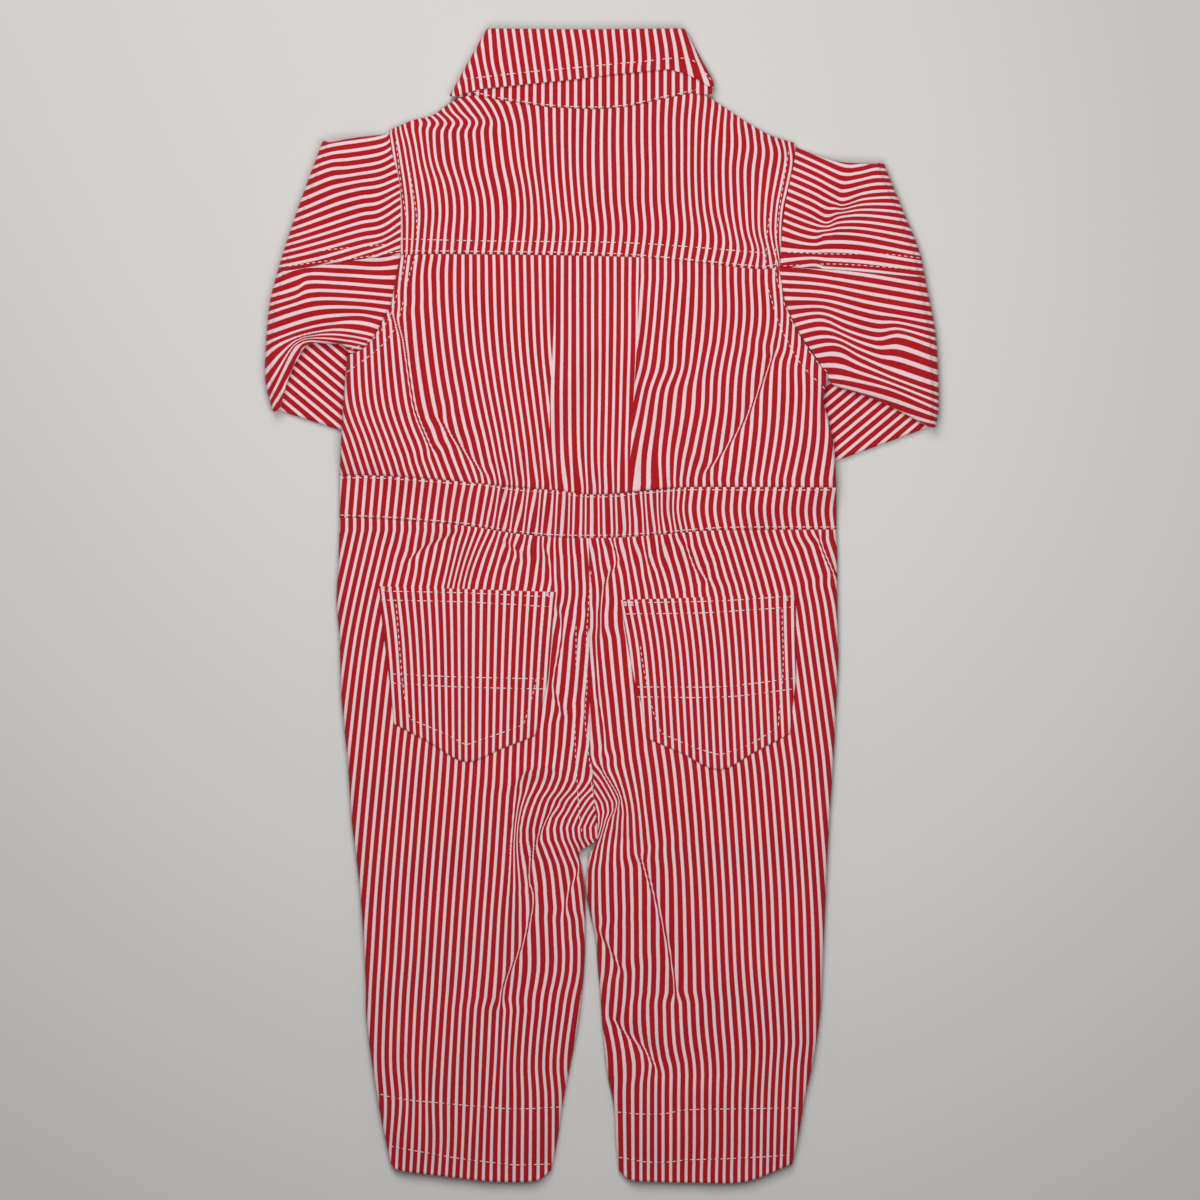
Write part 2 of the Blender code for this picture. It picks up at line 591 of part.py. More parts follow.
    # The collar: the leaf lies over the stand and turns down to meet its edge.
    stand = {"back": COLLAR_TOP - LAYER, "front": COLLAR_LOW + LAYER}
    add("collar_stand", collar(
        {"back": (FOLD_BACK, STAND_BACK), "front": (FOLD_FRONT, STAND_FRONT)}, stand, stand,
        [(0, 0.0021, 1), (0.33, 0.0006, 1), (0.67, 0.0004, 1), (1, 0.0, 1)], 23, 5, 0.0003))
    add("collar_leaf", collar(
        {"back": (FOLD_BACK, LEAF_BACK), "front": (FOLD_FRONT, LEAF_FRONT)},
        {"back": COLLAR_TOP, "front": COLLAR_LOW}, stand,
        [(0, 0.0005, 0), (0, 0.0006, 0.6), (0, 0.0012, 1), (0.35, 0, 1), (0.7, 0, 1), (1, -0.0004, 1)],
        23, 5), DEEP_CLOTH)


if __name__ == "__main__":
    main()
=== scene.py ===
"""Baby's boiler suit in red and white striped twill, laid face down: its looks.

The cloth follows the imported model's pieces, with finer folds, stripes and
top-stitching. Plan tables are in units of 0.52 mm, (across, down).
"""

import json
import math

import bmesh
import bpy
import numpy as np
from mathutils import Matrix, Vector
from mathutils.bvhtree import BVHTree
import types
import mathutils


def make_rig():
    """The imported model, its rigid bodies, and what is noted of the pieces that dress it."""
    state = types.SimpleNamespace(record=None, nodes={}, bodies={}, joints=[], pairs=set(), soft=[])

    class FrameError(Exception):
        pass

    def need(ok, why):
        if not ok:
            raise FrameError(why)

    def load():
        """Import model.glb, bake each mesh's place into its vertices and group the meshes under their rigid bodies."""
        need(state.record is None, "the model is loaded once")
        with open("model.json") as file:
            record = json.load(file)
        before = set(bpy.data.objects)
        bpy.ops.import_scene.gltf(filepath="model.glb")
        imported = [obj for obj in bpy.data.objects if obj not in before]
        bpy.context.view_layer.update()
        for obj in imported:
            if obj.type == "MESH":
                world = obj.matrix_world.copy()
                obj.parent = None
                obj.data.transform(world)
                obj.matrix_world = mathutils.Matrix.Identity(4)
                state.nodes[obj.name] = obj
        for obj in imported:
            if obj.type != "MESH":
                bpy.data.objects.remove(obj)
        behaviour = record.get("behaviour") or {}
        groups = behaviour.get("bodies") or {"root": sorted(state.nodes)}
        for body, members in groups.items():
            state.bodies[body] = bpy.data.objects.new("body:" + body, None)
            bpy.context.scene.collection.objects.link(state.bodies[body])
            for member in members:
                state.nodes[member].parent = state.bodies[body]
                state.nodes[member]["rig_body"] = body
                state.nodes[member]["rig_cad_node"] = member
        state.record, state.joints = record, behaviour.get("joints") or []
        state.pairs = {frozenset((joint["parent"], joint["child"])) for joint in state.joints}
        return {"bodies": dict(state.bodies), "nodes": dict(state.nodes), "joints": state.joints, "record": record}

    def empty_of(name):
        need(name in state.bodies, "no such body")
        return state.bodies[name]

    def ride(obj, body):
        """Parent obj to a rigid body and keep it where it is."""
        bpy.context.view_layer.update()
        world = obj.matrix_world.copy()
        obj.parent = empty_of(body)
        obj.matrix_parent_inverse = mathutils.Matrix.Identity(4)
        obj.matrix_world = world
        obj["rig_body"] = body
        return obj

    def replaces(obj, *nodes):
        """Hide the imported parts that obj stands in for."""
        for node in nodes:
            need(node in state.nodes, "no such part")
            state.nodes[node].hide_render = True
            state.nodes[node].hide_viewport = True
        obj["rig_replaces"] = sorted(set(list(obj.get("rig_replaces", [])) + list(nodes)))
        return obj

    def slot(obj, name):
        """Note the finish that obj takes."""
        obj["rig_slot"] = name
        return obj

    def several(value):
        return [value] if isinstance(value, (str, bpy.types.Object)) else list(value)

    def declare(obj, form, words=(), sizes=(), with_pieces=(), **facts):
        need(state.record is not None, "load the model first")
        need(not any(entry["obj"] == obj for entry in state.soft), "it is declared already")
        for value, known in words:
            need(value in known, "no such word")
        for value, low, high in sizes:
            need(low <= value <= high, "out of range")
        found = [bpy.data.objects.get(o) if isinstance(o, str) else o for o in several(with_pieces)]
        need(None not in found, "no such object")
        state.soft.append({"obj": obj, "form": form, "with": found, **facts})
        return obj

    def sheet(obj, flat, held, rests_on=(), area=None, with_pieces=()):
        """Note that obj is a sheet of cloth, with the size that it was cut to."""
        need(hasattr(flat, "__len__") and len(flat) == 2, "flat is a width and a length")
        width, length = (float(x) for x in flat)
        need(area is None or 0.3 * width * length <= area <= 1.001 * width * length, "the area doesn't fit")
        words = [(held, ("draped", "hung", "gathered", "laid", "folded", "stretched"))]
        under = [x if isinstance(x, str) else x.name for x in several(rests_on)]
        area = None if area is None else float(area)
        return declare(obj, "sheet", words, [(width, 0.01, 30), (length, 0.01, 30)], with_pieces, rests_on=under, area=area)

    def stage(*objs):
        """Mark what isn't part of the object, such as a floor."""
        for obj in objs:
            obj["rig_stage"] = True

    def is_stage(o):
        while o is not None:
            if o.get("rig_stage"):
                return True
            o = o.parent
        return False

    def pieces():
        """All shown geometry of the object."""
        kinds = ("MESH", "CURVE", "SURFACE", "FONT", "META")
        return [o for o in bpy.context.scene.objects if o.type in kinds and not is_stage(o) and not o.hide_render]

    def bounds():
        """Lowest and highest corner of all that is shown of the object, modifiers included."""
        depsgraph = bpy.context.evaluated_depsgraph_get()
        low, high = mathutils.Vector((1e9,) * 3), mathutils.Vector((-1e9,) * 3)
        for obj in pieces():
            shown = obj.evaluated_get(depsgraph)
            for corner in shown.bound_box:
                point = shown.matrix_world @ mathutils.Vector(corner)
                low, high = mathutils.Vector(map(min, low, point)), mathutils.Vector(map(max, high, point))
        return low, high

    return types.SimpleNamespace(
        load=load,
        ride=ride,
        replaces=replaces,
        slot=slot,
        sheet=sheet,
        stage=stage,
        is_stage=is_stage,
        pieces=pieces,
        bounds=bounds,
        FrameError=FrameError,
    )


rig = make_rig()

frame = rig.load()

bl_info = {
    "name": "Striped boiler suit",
    "version": (1, 0, 0),
    "blender": (4, 5, 0),
    "location": "3D View > Sidebar > Boiler suit",
    "description": "Sews the cloth and the stitching of a striped boiler suit laid flat",
    "category": "Add Mesh",
}

# Driving dimensions, in metres.
UNIT = 0.00052  # one unit of the plan tables
MIDDLE = (601.5, 605.0)  # the plan point over the origin, (across, down)
WALL = 0.0010  # cloth with its turnings
SEAM_GAP = 0.0003  # between two pieces that are sewn together
FLOOR_LAYER = WALL / 2  # middle of a layer that lies on the floor
LAYER = 0.0013  # from one layer's middle to that of the next on it
PUFF = 0.0034  # how much higher the back stands inside its rims
RIM = 0.013  # width of the roll at a rim
FOREARM_LIFT = 0.0033  # how far a forearm lifts the chest over it
LIFT_RAMP = 0.020
LIFT_MARGIN = 0.007
TUBE = 0.0018  # between a flat sleeve's two layers, at its edges
ELBOW_RADIUS = 0.0023  # of the elbow's roll, midway between the layers
GATHER = 0.0007  # height of the waist's gathers
GATHERS = 14
GATHER_SPAN = (482, 690)  # where the waist's elastic runs
GATHER_REACH = 0.030  # how far the gathers run up and down from it
PLACKET_WIDTH = 0.024
COLLAR_LOW, COLLAR_TOP = 0.0005, 0.0065  # middles of the collar leaf's two sides
STRIPE_REPEAT = 0.00416  # from one white stripe to the next
COLLAR_REPEAT = 0.0043  # the same round the collar
FINE_WALL = 0.0008  # cloth of the pieces that show
CLOSE_SEAM = 0.00002  # between the fine pieces that are sewn together
FRONT_INSET = 0.0016  # of the front's outer edges, under the back
HEM_INSET = 0.0006  # of the front legs' hems
RISE_GAP = 0.0004  # of each front leg at the placket and down its inseam
STITCH_WIDE, STITCH_HIGH = 0.00024, 0.0002  # half a stitch's width and height
STITCH_RISE = 0.0001  # of a stitch's middle over the cloth
GATHER_SWAY = 0.14  # how many stripes the gathers push the cloth aside
SLEEVE_TUCK = 0.0013  # how far a sleeve goes in under the body
SLEEVE_DROP = 0.0007  # and how much lower it lies there
POCKET_RAISED = 0.0006
PICTURE_SIDE = 1200  # of the picture, in plan units

# Plan tables: every row is (across, down). They follow the pieces' edges.
YOKE_TOP = [
    (390, 132), (413, 122), (433, 117), (450, 105), (462, 98), (473, 96),
    (507, 102), (550, 108), (594, 110), (626, 108), (658, 101), (690, 94),
    (704, 96), (715, 103), (745, 123), (770, 137), (795, 145),
]
YOKE_SEAM = [
    (400.5, 255), (449, 254), (599, 256), (651, 259), (705, 264), (759, 269),
    (780, 267),
]
# Armholes, from the shoulder to the underarm; OVER ends at the yoke's seam.
LEFT_ARM_OVER = [(390, 132), (392, 152), (400, 185), (401, 228), (400.5, 255)]
LEFT_ARM_UNDER = [
    (400.5, 255), (396, 272), (390, 304), (382, 320), (374, 335), (364, 347),
    (353, 352.5), (347, 355),
]
RIGHT_ARM_OVER = [(795, 145), (794, 161), (790, 182), (784, 212), (781, 246), (780, 267)]
RIGHT_ARM_UNDER = [
    (780, 267), (782, 281), (786, 303), (793, 320), (803, 339), (819, 362),
    (825, 370), (829, 376),
]
LEFT_SIDE = [(347, 355), (346, 362), (343, 400), (341, 430), (339, 475.5)]
RIGHT_SIDE = [(829, 376), (828, 383), (824, 401), (830, 423), (835, 450), (837, 487.5)]
WAIST_TOP = [
    (339, 475.5), (376, 475.5), (422, 478.5), (459, 481.5), (515, 487.5),
    (556, 490.5), (589, 494.5), (620, 493.5), (684, 487.5), (732, 487), (837, 487.5),
]
WAIST_LOW = [
    (339, 517.5), (385, 519.5), (441, 523.5), (478, 527.5), (515, 533.5),
    (561, 537.5), (589, 538), (620, 537.5), (675, 533.5), (713, 530.5), (837, 529.5),
]
WAIST_LOW_LEFT, WAIST_LOW_RIGHT = WAIST_LOW[:7], WAIST_LOW[6:]
LEFT_OUTER = [
    (339, 517.5), (338, 560), (336, 600), (339, 640), (341, 700), (347, 760),
    (351, 820), (356, 860), (361, 910), (365, 980), (366, 1020), (374, 1080),
    (381, 1120), (390, 1163),
]
RIGHT_OUTER = [
    (837, 529.5), (838, 560), (838, 600), (839, 660), (837, 700), (834, 760),
    (830, 820), (827, 880), (824, 950), (821, 1010), (814, 1060), (805, 1100),
    (800, 1130), (793, 1164),
]
SEAT_SEAM = [(589, 538), (589.5, 650), (590, 747), (593, 773), (594, 798), (597, 838)]
LEFT_INSEAM = [
    (596, 835), (588, 846), (579, 853), (582, 868), (584.5, 889), (585, 939),
    (583.5, 972), (581, 1000), (577, 1030), (571, 1060), (563, 1100),
    (557, 1140), (551, 1170),
]
RIGHT_INSEAM = [
    (598.5, 835), (594, 847), (589, 856), (587, 873), (586, 889), (590, 911),
    (596, 939), (598, 964), (601, 1000), (603, 1030), (607, 1070), (614, 1105),
    (616, 1140), (619, 1170),
]
LEFT_HEM = [(390, 1163), (400, 1171), (456, 1178), (496, 1182), (535, 1181), (551, 1170)]
RIGHT_HEM = [(619, 1170), (631, 1180), (655, 1182), (696, 1183), (746, 1182), (793, 1164)]
LEFT_SHOULDER, RIGHT_SHOULDER = YOKE_TOP[:4], YOKE_TOP[13:]
# The seat pockets: hem, pointed foot, and sides from hem to foot.
LEFT_POCKET = {
    "hem": [(379, 586), (466, 589), (556, 592)],
    "foot": [(394, 724), (430, 743), (466, 762), (501, 749), (535, 736)],
    "outer": [(379, 586), (382, 620), (386, 653), (390, 686), (394, 724)],
    "inner": [(556, 592), (553, 620), (549, 670), (546, 689), (535, 736)],
}
RIGHT_POCKET = {
    "hem": [(621, 600), (709, 597), (796, 594)],
    "foot": [(646, 738), (683, 754), (719, 770), (755, 752), (790, 734)],
    "outer": [(621, 600), (626, 636), (634, 678), (641, 703), (646, 738)],
    "inner": [(796, 594), (796, 653), (796, 678), (793, 703), (790, 734)],
}
# The sleeves: edges of the upper arm, the elbow's fold, and the cuff.
LEFT_SLEEVE = {
    "top": [(390, 132), (356, 136), (322, 142)],
    "seam": [(400.5, 255), (350, 260), (288, 269)],
    "low": [
        (347, 355), (341, 347), (325, 346), (310, 346), (298, 360), (287, 382), (279, 410),
    ],
    "fold_over": [(322, 142), (298, 207), (283, 252), (278, 269)],
    "fold_under": [(278, 269), (270, 300), (266, 339), (265, 380), (272, 410)],
    "cuff": [(591, 321), (538, 391), (476, 471)],
    "arm": (LEFT_ARM_OVER, LEFT_ARM_UNDER),
}
RIGHT_SLEEVE = {
    "top": [(795, 145), (840, 160), (884, 163)],
    "seam": [(780, 267), (850, 270), (924, 276)],
    "low": [(829, 376), (836, 388), (872, 399), (901, 411), (932, 427)],
    "fold_over": [(884, 163), (901, 205), (919, 249), (925, 276)],
    "fold_under": [(925, 276), (935, 327), (938, 363), (939, 407), (936, 426)],
    "cuff": [(631, 335), (690, 406), (758, 487)],
    "arm": (RIGHT_ARM_OVER, RIGHT_ARM_UNDER),
}
# Collar: rows of (share across, down) for its edges on the back and the front,
# and the plan line of its two ends.
COLLAR_ENDS = {
    "down": (28, 60, 80, 97),
    "left": (487, 469, 458, 448.5),
    "right": (685, 702, 714, 718),
}
FOLD_BACK = ((0, 28), (0.48, 29), (1, 28))
FOLD_FRONT = ((0, 28), (0.25, 50), (0.5, 72), (0.75, 50), (1, 28))
LEAF_BACK = (
    (0, 97), (0.08, 90), (0.26, 85), (0.46, 80), (0.62, 75), (0.86, 70), (0.93, 75), (1, 87),
)
LEAF_FRONT = ((0, 97), (0.2, 100), (0.49, 124), (0.51, 124), (0.8, 98), (1, 87))
STAND_BACK = (
    (0, 96), (0.02, 97), (0.065, 95), (0.2, 101), (0.367, 107), (0.54, 109),
    (0.666, 107), (0.79, 100), (0.918, 93), (0.973, 95), (1, 94),
)
STAND_FRONT = (
    (0, 96), (0.02, 98), (0.18, 115), (0.355, 129), (0.517, 139), (0.68, 129),
    (0.855, 113), (0.98, 96), (1, 94),
)
# Front of the neck, where the chest meets the stand.
NECK_FRONT = [(462, 99), (502, 116), (547, 130), (588, 140), (630, 130), (674, 114), (706, 97)]

# Main folds: (height in mm, half width in mm, plan line).
BACK_FOLDS = [
    (1.2, 4.0, [(553, 262), (553, 320), (551, 402), (550, 475)]),
    (-1.2, 4.0, [(546, 275), (545, 350), (542, 440)]),
    (1.2, 4.0, [(640, 265), (637, 337), (633, 400), (629, 470)]),
    (-1.2, 4.0, [(649, 275), (646, 350), (640, 430)]),
    (-1.3, 5.0, [(391, 312), (404, 344), (413, 402), (420, 430), (435, 457)]),
    (-1.2, 4.5, [(433, 412), (444, 426), (456, 442), (473, 461), (490, 474)]),
    (-1.5, 5.0, [(774, 350), (762, 385), (737, 432), (703, 470)]),
    (0.8, 5.0, [(676, 373), (666, 395), (646, 426), (640, 455)]),
]
SEAT_FOLDS = [
    (-1.3, 5.0, [(498, 540), (507, 548), (517, 562)]),
    (-1.2, 5.0, [(463, 532), (437, 544), (413, 555), (402, 570)]),
    (-1.2, 5.0, [(684, 540), (692, 560), (704, 580)]),
    (1.4, 5.0, [(514, 781), (523, 774), (537, 770), (554, 772), (568, 778)]),
    (-1.6, 5.0, [(556, 804), (543, 826), (533, 850), (530, 912), (513, 965), (502, 1020)]),
    (1.4, 5.0, [(601, 765), (611, 780), (620, 798)]),
    (-1.4, 4.0, [(604, 840), (614, 838), (637, 838)]),
    (-1.6, 5.0, [(637, 850), (649, 880), (659, 911), (669, 949), (676, 985), (676, 1015)]),
    (-1.4, 5.0, [(607, 1013), (630, 1038), (643, 1048), (658, 1071)]),
    (1.0, 8.0, [(650, 1092), (690, 1090), (730, 1094)]),
]
SLEEVE_FOLDS = [
    (-1.2, 4.0, [(784, 215), (815, 225), (850, 212), (868, 180)]),
    (-1.2, 4.0, [(790, 318), (822, 312), (850, 330), (905, 340)]),
    (-1.2, 4.0, [(396, 262), (345, 276), (318, 270), (285, 282)]),
    (-1.1, 4.0, [(384, 322), (356, 316), (330, 330), (312, 338)]),
]


def to_plan(table):
    """A plan table's points in metres, seen from above."""
    return (np.array(table, float) - MIDDLE) * (UNIT, -UNIT)


def curve(table, shares, aside=0.0):
    """Points at shares of a smooth line's length, moved aside to its left."""
    knots = to_plan(table)
    ends = np.vstack([2 * knots[0] - knots[1], knots, 2 * knots[-1] - knots[-2]])
    t = np.linspace(0, 1, 9)[:-1, None]
    run = []
    for a, b, c, d in zip(ends, ends[1:], ends[2:], ends[3:]):
        run.append(
            0.5 * (2 * b + (c - a) * t + (2 * a - 5 * b + 4 * c - d) * t**2
                   + (3 * b - a - 3 * c + d) * t**3)
        )
    run = np.vstack(run + [knots[-1:]])
    length = np.concatenate([[0], np.cumsum(np.linalg.norm(np.diff(run, axis=0), axis=1))])
    at = np.asarray(shares, float) * length[-1]
    points = np.stack([np.interp(at, length, run[:, k]) for k in (0, 1)], -1)
    if aside:
        step = length[-1] * 1e-3
        ahead, behind = (
            np.stack([np.interp(at + s, length, run[:, k]) for k in (0, 1)], -1)
            for s in (step, -step)
        )
        way = ahead - behind
        way /= np.linalg.norm(way, axis=-1, keepdims=True)
        points = points + aside * np.stack([-way[:, 1], way[:, 0]], -1)
    return points


def coons(low, high, left, right, across, along):
    """Plan points of a surface that four sampled edges bound."""
    u, v = across[:, None, None], along[None, :, None]
    flat = (
        (1 - v) * low[:, None]
        + v * high[:, None]
        + (1 - u) * left[None]
        + u * right[None]
    )
    corners = (
        (1 - u) * (1 - v) * low[0]
        + u * (1 - v) * low[-1]
        + (1 - u) * v * high[0]
        + u * v * high[-1]
    )
    return flat - corners


def crowd(n, amount=0.55):
    """Shares from 0 to 1 that crowd towards both ends."""
    t = np.linspace(0, 1, n)
    return t - amount * np.sin(2 * math.pi * t) / (2 * math.pi)


def nearest(points, line):
    """For each point and each step of a line: offset, step, and share of the step."""
    way = np.diff(line, axis=0)
    rel = points[..., None, :] - line[:-1]
    return rel, way, np.clip((rel * way).sum(-1) / np.maximum((way**2).sum(-1), 1e-12), 0, 1)


def apart(points, line):
    """Each point's distance from a plan line."""
    rel, way, t = nearest(points, line)
    return np.linalg.norm(rel - t[..., None] * way, axis=-1).min(-1)


def ease(t):
    """0 to 1, slow at both ends."""
    t = np.clip(t, 0, 1)
    return t * t * (3 - 2 * t)


def roll(distance, width=RIM):
    """0 at a rim to 1 inside it, round like turned cloth."""
    t = np.clip(distance / width, 0, 1)
    return np.sqrt(1 - (1 - t) ** 2)


def outside(points, corners):
    """Distance outside a four-cornered plan region, negative inside it."""
    ring = to_plan(corners)
    worst = np.full(points.shape[:-1], -1.0)
    for a, b in zip(ring, np.roll(ring, -1, axis=0)):
        way = (b - a) / np.linalg.norm(b - a)
        worst = np.maximum(worst, (points - a) @ np.array([-way[1], way[0]]))
    return worst


def lift(points):
    """How far the forearms lift what lies over them."""
    left = [LEFT_SLEEVE["fold_over"][0], LEFT_SLEEVE["cuff"][0]]
    left += [LEFT_SLEEVE["cuff"][-1], LEFT_SLEEVE["fold_under"][-1]]
    right = [RIGHT_SLEEVE["fold_under"][-1], RIGHT_SLEEVE["cuff"][-1]]
    right += [RIGHT_SLEEVE["cuff"][0], RIGHT_SLEEVE["fold_over"][0]]
    near = np.minimum(outside(points, left), outside(points, right))
    return FOREARM_LIFT * (1 - ease((near - LIFT_MARGIN) / LIFT_RAMP))


def folds(points, table):
    """Height of the main folds, each fading out at its ends."""
    total = np.zeros(points.shape[:-1])
    for height, width, line in table:
        run = curve(line, np.linspace(0, 1, 16))
        ends = np.minimum(
            np.linalg.norm(points - run[0], axis=-1), np.linalg.norm(points - run[-1], axis=-1)
        )
        near = apart(points, run)
        fade = 0.4 + 0.6 * ease(ends / 0.012)
        total += height * 0.001 * np.exp(-((near / (width * 0.001)) ** 2)) * fade
    return total


def gathers(points):
    """The waves that the waist's elastic draws in the cloth."""
    left, right = ((edge - MIDDLE[0]) * UNIT for edge in GATHER_SPAN)
    share = (points[..., 0] - left) / (right - left)
    inside = ease(share * 8) * ease((1 - share) * 8)
    waist = [(339, 497), (515, 510), (589, 516), (684, 511), (837, 508)]
    waist = curve(waist, np.linspace(0, 1, 30))
    near = np.maximum(apart(points, waist) - 0.010, 0)
    return GATHER * np.sin(2 * math.pi * GATHERS * share) * inside * (1 - ease(near / GATHER_REACH))


SHARES = np.linspace(0, 1, 40)
RIMS = [
    curve(table, SHARES)
    for table in (
        LEFT_SHOULDER, RIGHT_SHOULDER, LEFT_SIDE + LEFT_OUTER, RIGHT_SIDE + RIGHT_OUTER,
        LEFT_INSEAM[2:], RIGHT_INSEAM[2:],
    )
]


def front_level(points):
    """Middle of the front's cloth."""
    return FLOOR_LAYER + lift(points)


def back_level(points):
    """Middle of the back's cloth: low at its rims, full inside them."""
    rim = np.min([apart(points, line) for line in RIMS], axis=0)
    body = roll(rim)
    hem = ease((points[..., 1] + 0.300) / 0.030)
    shape = folds(points, BACK_FOLDS + SEAT_FOLDS) + gathers(points)
    return front_level(points) + LAYER + (PUFF * (0.45 + 0.55 * hem) + shape) * body


def flip(table):
    """The same line, run the other way."""
    return table[::-1]


def meet(line, start, end, shares):
    """A sampled line slid so that it runs from start to end."""
    t = shares[:, None]
    return line + (1 - t) * (start - line[0]) + t * (end - line[-1])


def panel(low, high, left, right, across, along, level, aside=None, raised=0.0):
    """Points of a panel between four plan tables, at a level."""
    aside = aside or {}
    tables = {"low": low, "high": high, "left": left, "right": right}
    signs = {"low": 1, "high": -1, "left": -1, "right": 1}
    shares = {"low": across, "high": across, "left": along, "right": along}
    raw, edge = {}, {}
    for side, table in tables.items():
        raw[side] = curve(table, shares[side])
        by = aside.get(side, SEAM_GAP / 2)
        edge[side] = curve(table, shares[side], signs[side] * by)
    for row, at in (("low", 0), ("high", -1)):
        corners = [
            edge[row][k] + edge[side][at] - raw[side][at]
            for side, k in (("left", 0), ("right", -1))
        ]
        edge[row] = meet(edge[row], *corners, across)
    for side, k in (("left", 0), ("right", -1)):
        edge[side] = meet(edge[side], edge["low"][k], edge["high"][k], along)
    plan = coons(edge["low"], edge["high"], edge["left"], edge["right"], across, along)
    return np.concatenate([plan, (level(plan) + raised)[..., None]], -1)


def arm(sleeve, mirrored, over, n_arm, n_roll, n_fore, n_side):
    """Points of half a sleeve: upper arm, roll of the elbow, and forearm.

    Its cloth starts at the back seam, goes out over the sleeve's edge and
    comes back to the seam below, so each half is an open channel.
    """
    way = (-1 if mirrored else 1) * (1 if over else -1)
    side = crowd(n_side, 0.3)  # from the sleeve's edge to its back seam
    rows = np.linspace(0, 1, n_arm)
    hole = sleeve["arm"][0] if over else sleeve["arm"][1][::-1]
    fold = sleeve["fold_over"] if over else sleeve["fold_under"][::-1]
    cuff = sleeve["cuff"] if over else sleeve["cuff"][::-1]
    elbow_inset = WALL / 2 + ELBOW_RADIUS + TUBE / 2
    edge_inset = WALL / 2 + TUBE / 2
    bend = curve(fold, side, way * elbow_inset)
    cuff_line = curve(cuff, side * 0.5)
    for line in (bend, cuff_line):
        back = line[-2] - line[-1]
        line[-1] += back / np.linalg.norm(back) * SEAM_GAP / 2
    first = 1.7 * edge_inset / np.linalg.norm(np.diff(to_plan(hole), axis=0), axis=1).sum()
    hole_line = curve(hole, first + side * (1 - first), -way * (SEAM_GAP + 0.0002))
    back = hole_line[-2] - hole_line[-1]
    hole_line[-1] += back / np.linalg.norm(back) * SEAM_GAP / 2
    edge_line = curve(sleeve["top" if over else "low"], rows, way * edge_inset)
    edge_line = meet(edge_line, hole_line[0], bend[0], rows)
    seam = curve(sleeve["seam"], rows, -way * SEAM_GAP / 2)
    seam = meet(seam, hole_line[-1], bend[-1], rows)
    upper = coons(hole_line, bend, edge_line, seam, side, rows)

    # Heights of the upper arm's two layers.
    both = sleeve["fold_over"] + sleeve["fold_under"][1:]
    fold_line = curve(both, SHARES)
    edges = [fold_line, curve(sleeve["top"], SHARES), curve(sleeve["low"], SHARES)]
    rim = np.min([apart(upper, line) for line in edges], axis=0) - edge_inset
    near_elbow = 1 - ease((apart(upper, fold_line) - elbow_inset) / 0.025)
    at_elbow = FLOOR_LAYER + 2 * ELBOW_RADIUS
    under = front_level(upper)
    lower = under + (at_elbow - under) * near_elbow
    full = roll(np.maximum(rim, 0))
    height = TUBE + (LAYER + PUFF - TUBE + folds(upper, SLEEVE_FOLDS)) * full

    out = fold_normals(bend, cuff_line)
    middle = FLOOR_LAYER + TUBE / 2
    outward = upper[0] - upper[1]
    outward /= np.linalg.norm(outward, axis=-1, keepdims=True)
    ring = [(k, 1.0, 0.0) for k in range(n_side - 1, -1, -1)]
    ring += [(0, math.cos(a), math.sin(a)) for a in (math.pi * s for s in (0.25, 0.5, 0.75))]
    ring += [(k, -1.0, 0.0) for k in range(n_side)]
    points = []
    for k, layer, push in ring:
        column = []
        for r in range(n_arm):
            plan = upper[k, r] + outward[r] * push * TUBE / 2
            column.append((*plan, lower[k, r] + height[k, r] * (1 + layer) / 2))
        aside = outward[-1] * push * TUBE / 2
        for r in range(1, n_roll):
            angle = math.pi * r / n_roll
            radius = ELBOW_RADIUS + layer * TUBE / 2
            plan = bend[k] + out[k] * radius * math.sin(angle) + aside
            column.append((*plan, middle + ELBOW_RADIUS + radius * math.cos(angle)))
        for t in np.linspace(0, 1, n_fore):
            plan = bend[k] * (1 - t) + cuff_line[k] * t + aside
            column.append((*plan, middle - layer * TUBE / 2))
        points.append(column)
    return np.array(points)


def fold_normals(bend, inner):
    """Unit plan directions across the elbow's fold, away from the forearm."""
    along = np.gradient(bend, axis=0)
    along /= np.linalg.norm(along, axis=-1, keepdims=True)
    out = np.stack([-along[:, 1], along[:, 0]], -1)
    return out * np.sign((out * (bend - inner)).sum(-1, keepdims=True))


def collar(lines, levels, turned, rows, n_back, n_front, inward=0.0):
    """Points of a collar piece that runs round the neck from the centre front.

    lines holds its (top, low) rows on the back and the front, levels its
    height there, and turned its height at the fold line. A row is (share of
    the depth, metres further down, share of the turn that is done).
    """
    ends = {
        side: to_plan(np.stack([COLLAR_ENDS[side], COLLAR_ENDS["down"]], -1))
        for side in ("left", "right")
    }
    inset = WALL / 2 + (COLLAR_TOP - COLLAR_LOW) / 2 + inward
    ring = [("front", s, 0.0) for s in np.linspace(0.485, 0, n_front)]
    ring += [("back", 0.0, -a) for a in (150, 120, 90, 60, 30)]
    ring += [("back", s, 0.0) for s in np.linspace(0, 1, n_back)]
    ring += [("back", 1.0, a) for a in (30, 60, 90, 120, 150)]
    ring += [("front", s, 0.0) for s in np.linspace(1, 0.515, n_front)]
    points = []
    for side, share, angle in ring:
        column = []
        for depth, more, done in rows:
            down = [np.interp(share, *zip(*table)) for table in lines[side]]
            y = (MIDDLE[1] - (down[0] + (down[1] - down[0]) * depth)) * UNIT - more
            z = {k: turned[k] + (levels[k] - turned[k]) * done for k in levels}
            left, right = (
                np.interp(-y, -ends[k][:, 1], ends[k][:, 0]) + sign * inset
                for k, sign in (("left", 1), ("right", -1))
            )
            radius = (z["back"] - z["front"]) / 2
            x = left + (right - left) * share + radius * math.sin(math.radians(angle))
            height = z[side]
            if angle:
                height = (z["back"] + z["front"]) / 2 + radius * math.cos(math.radians(angle))
            column.append((x, y, height))
        points.append(column)
    return np.array(points)


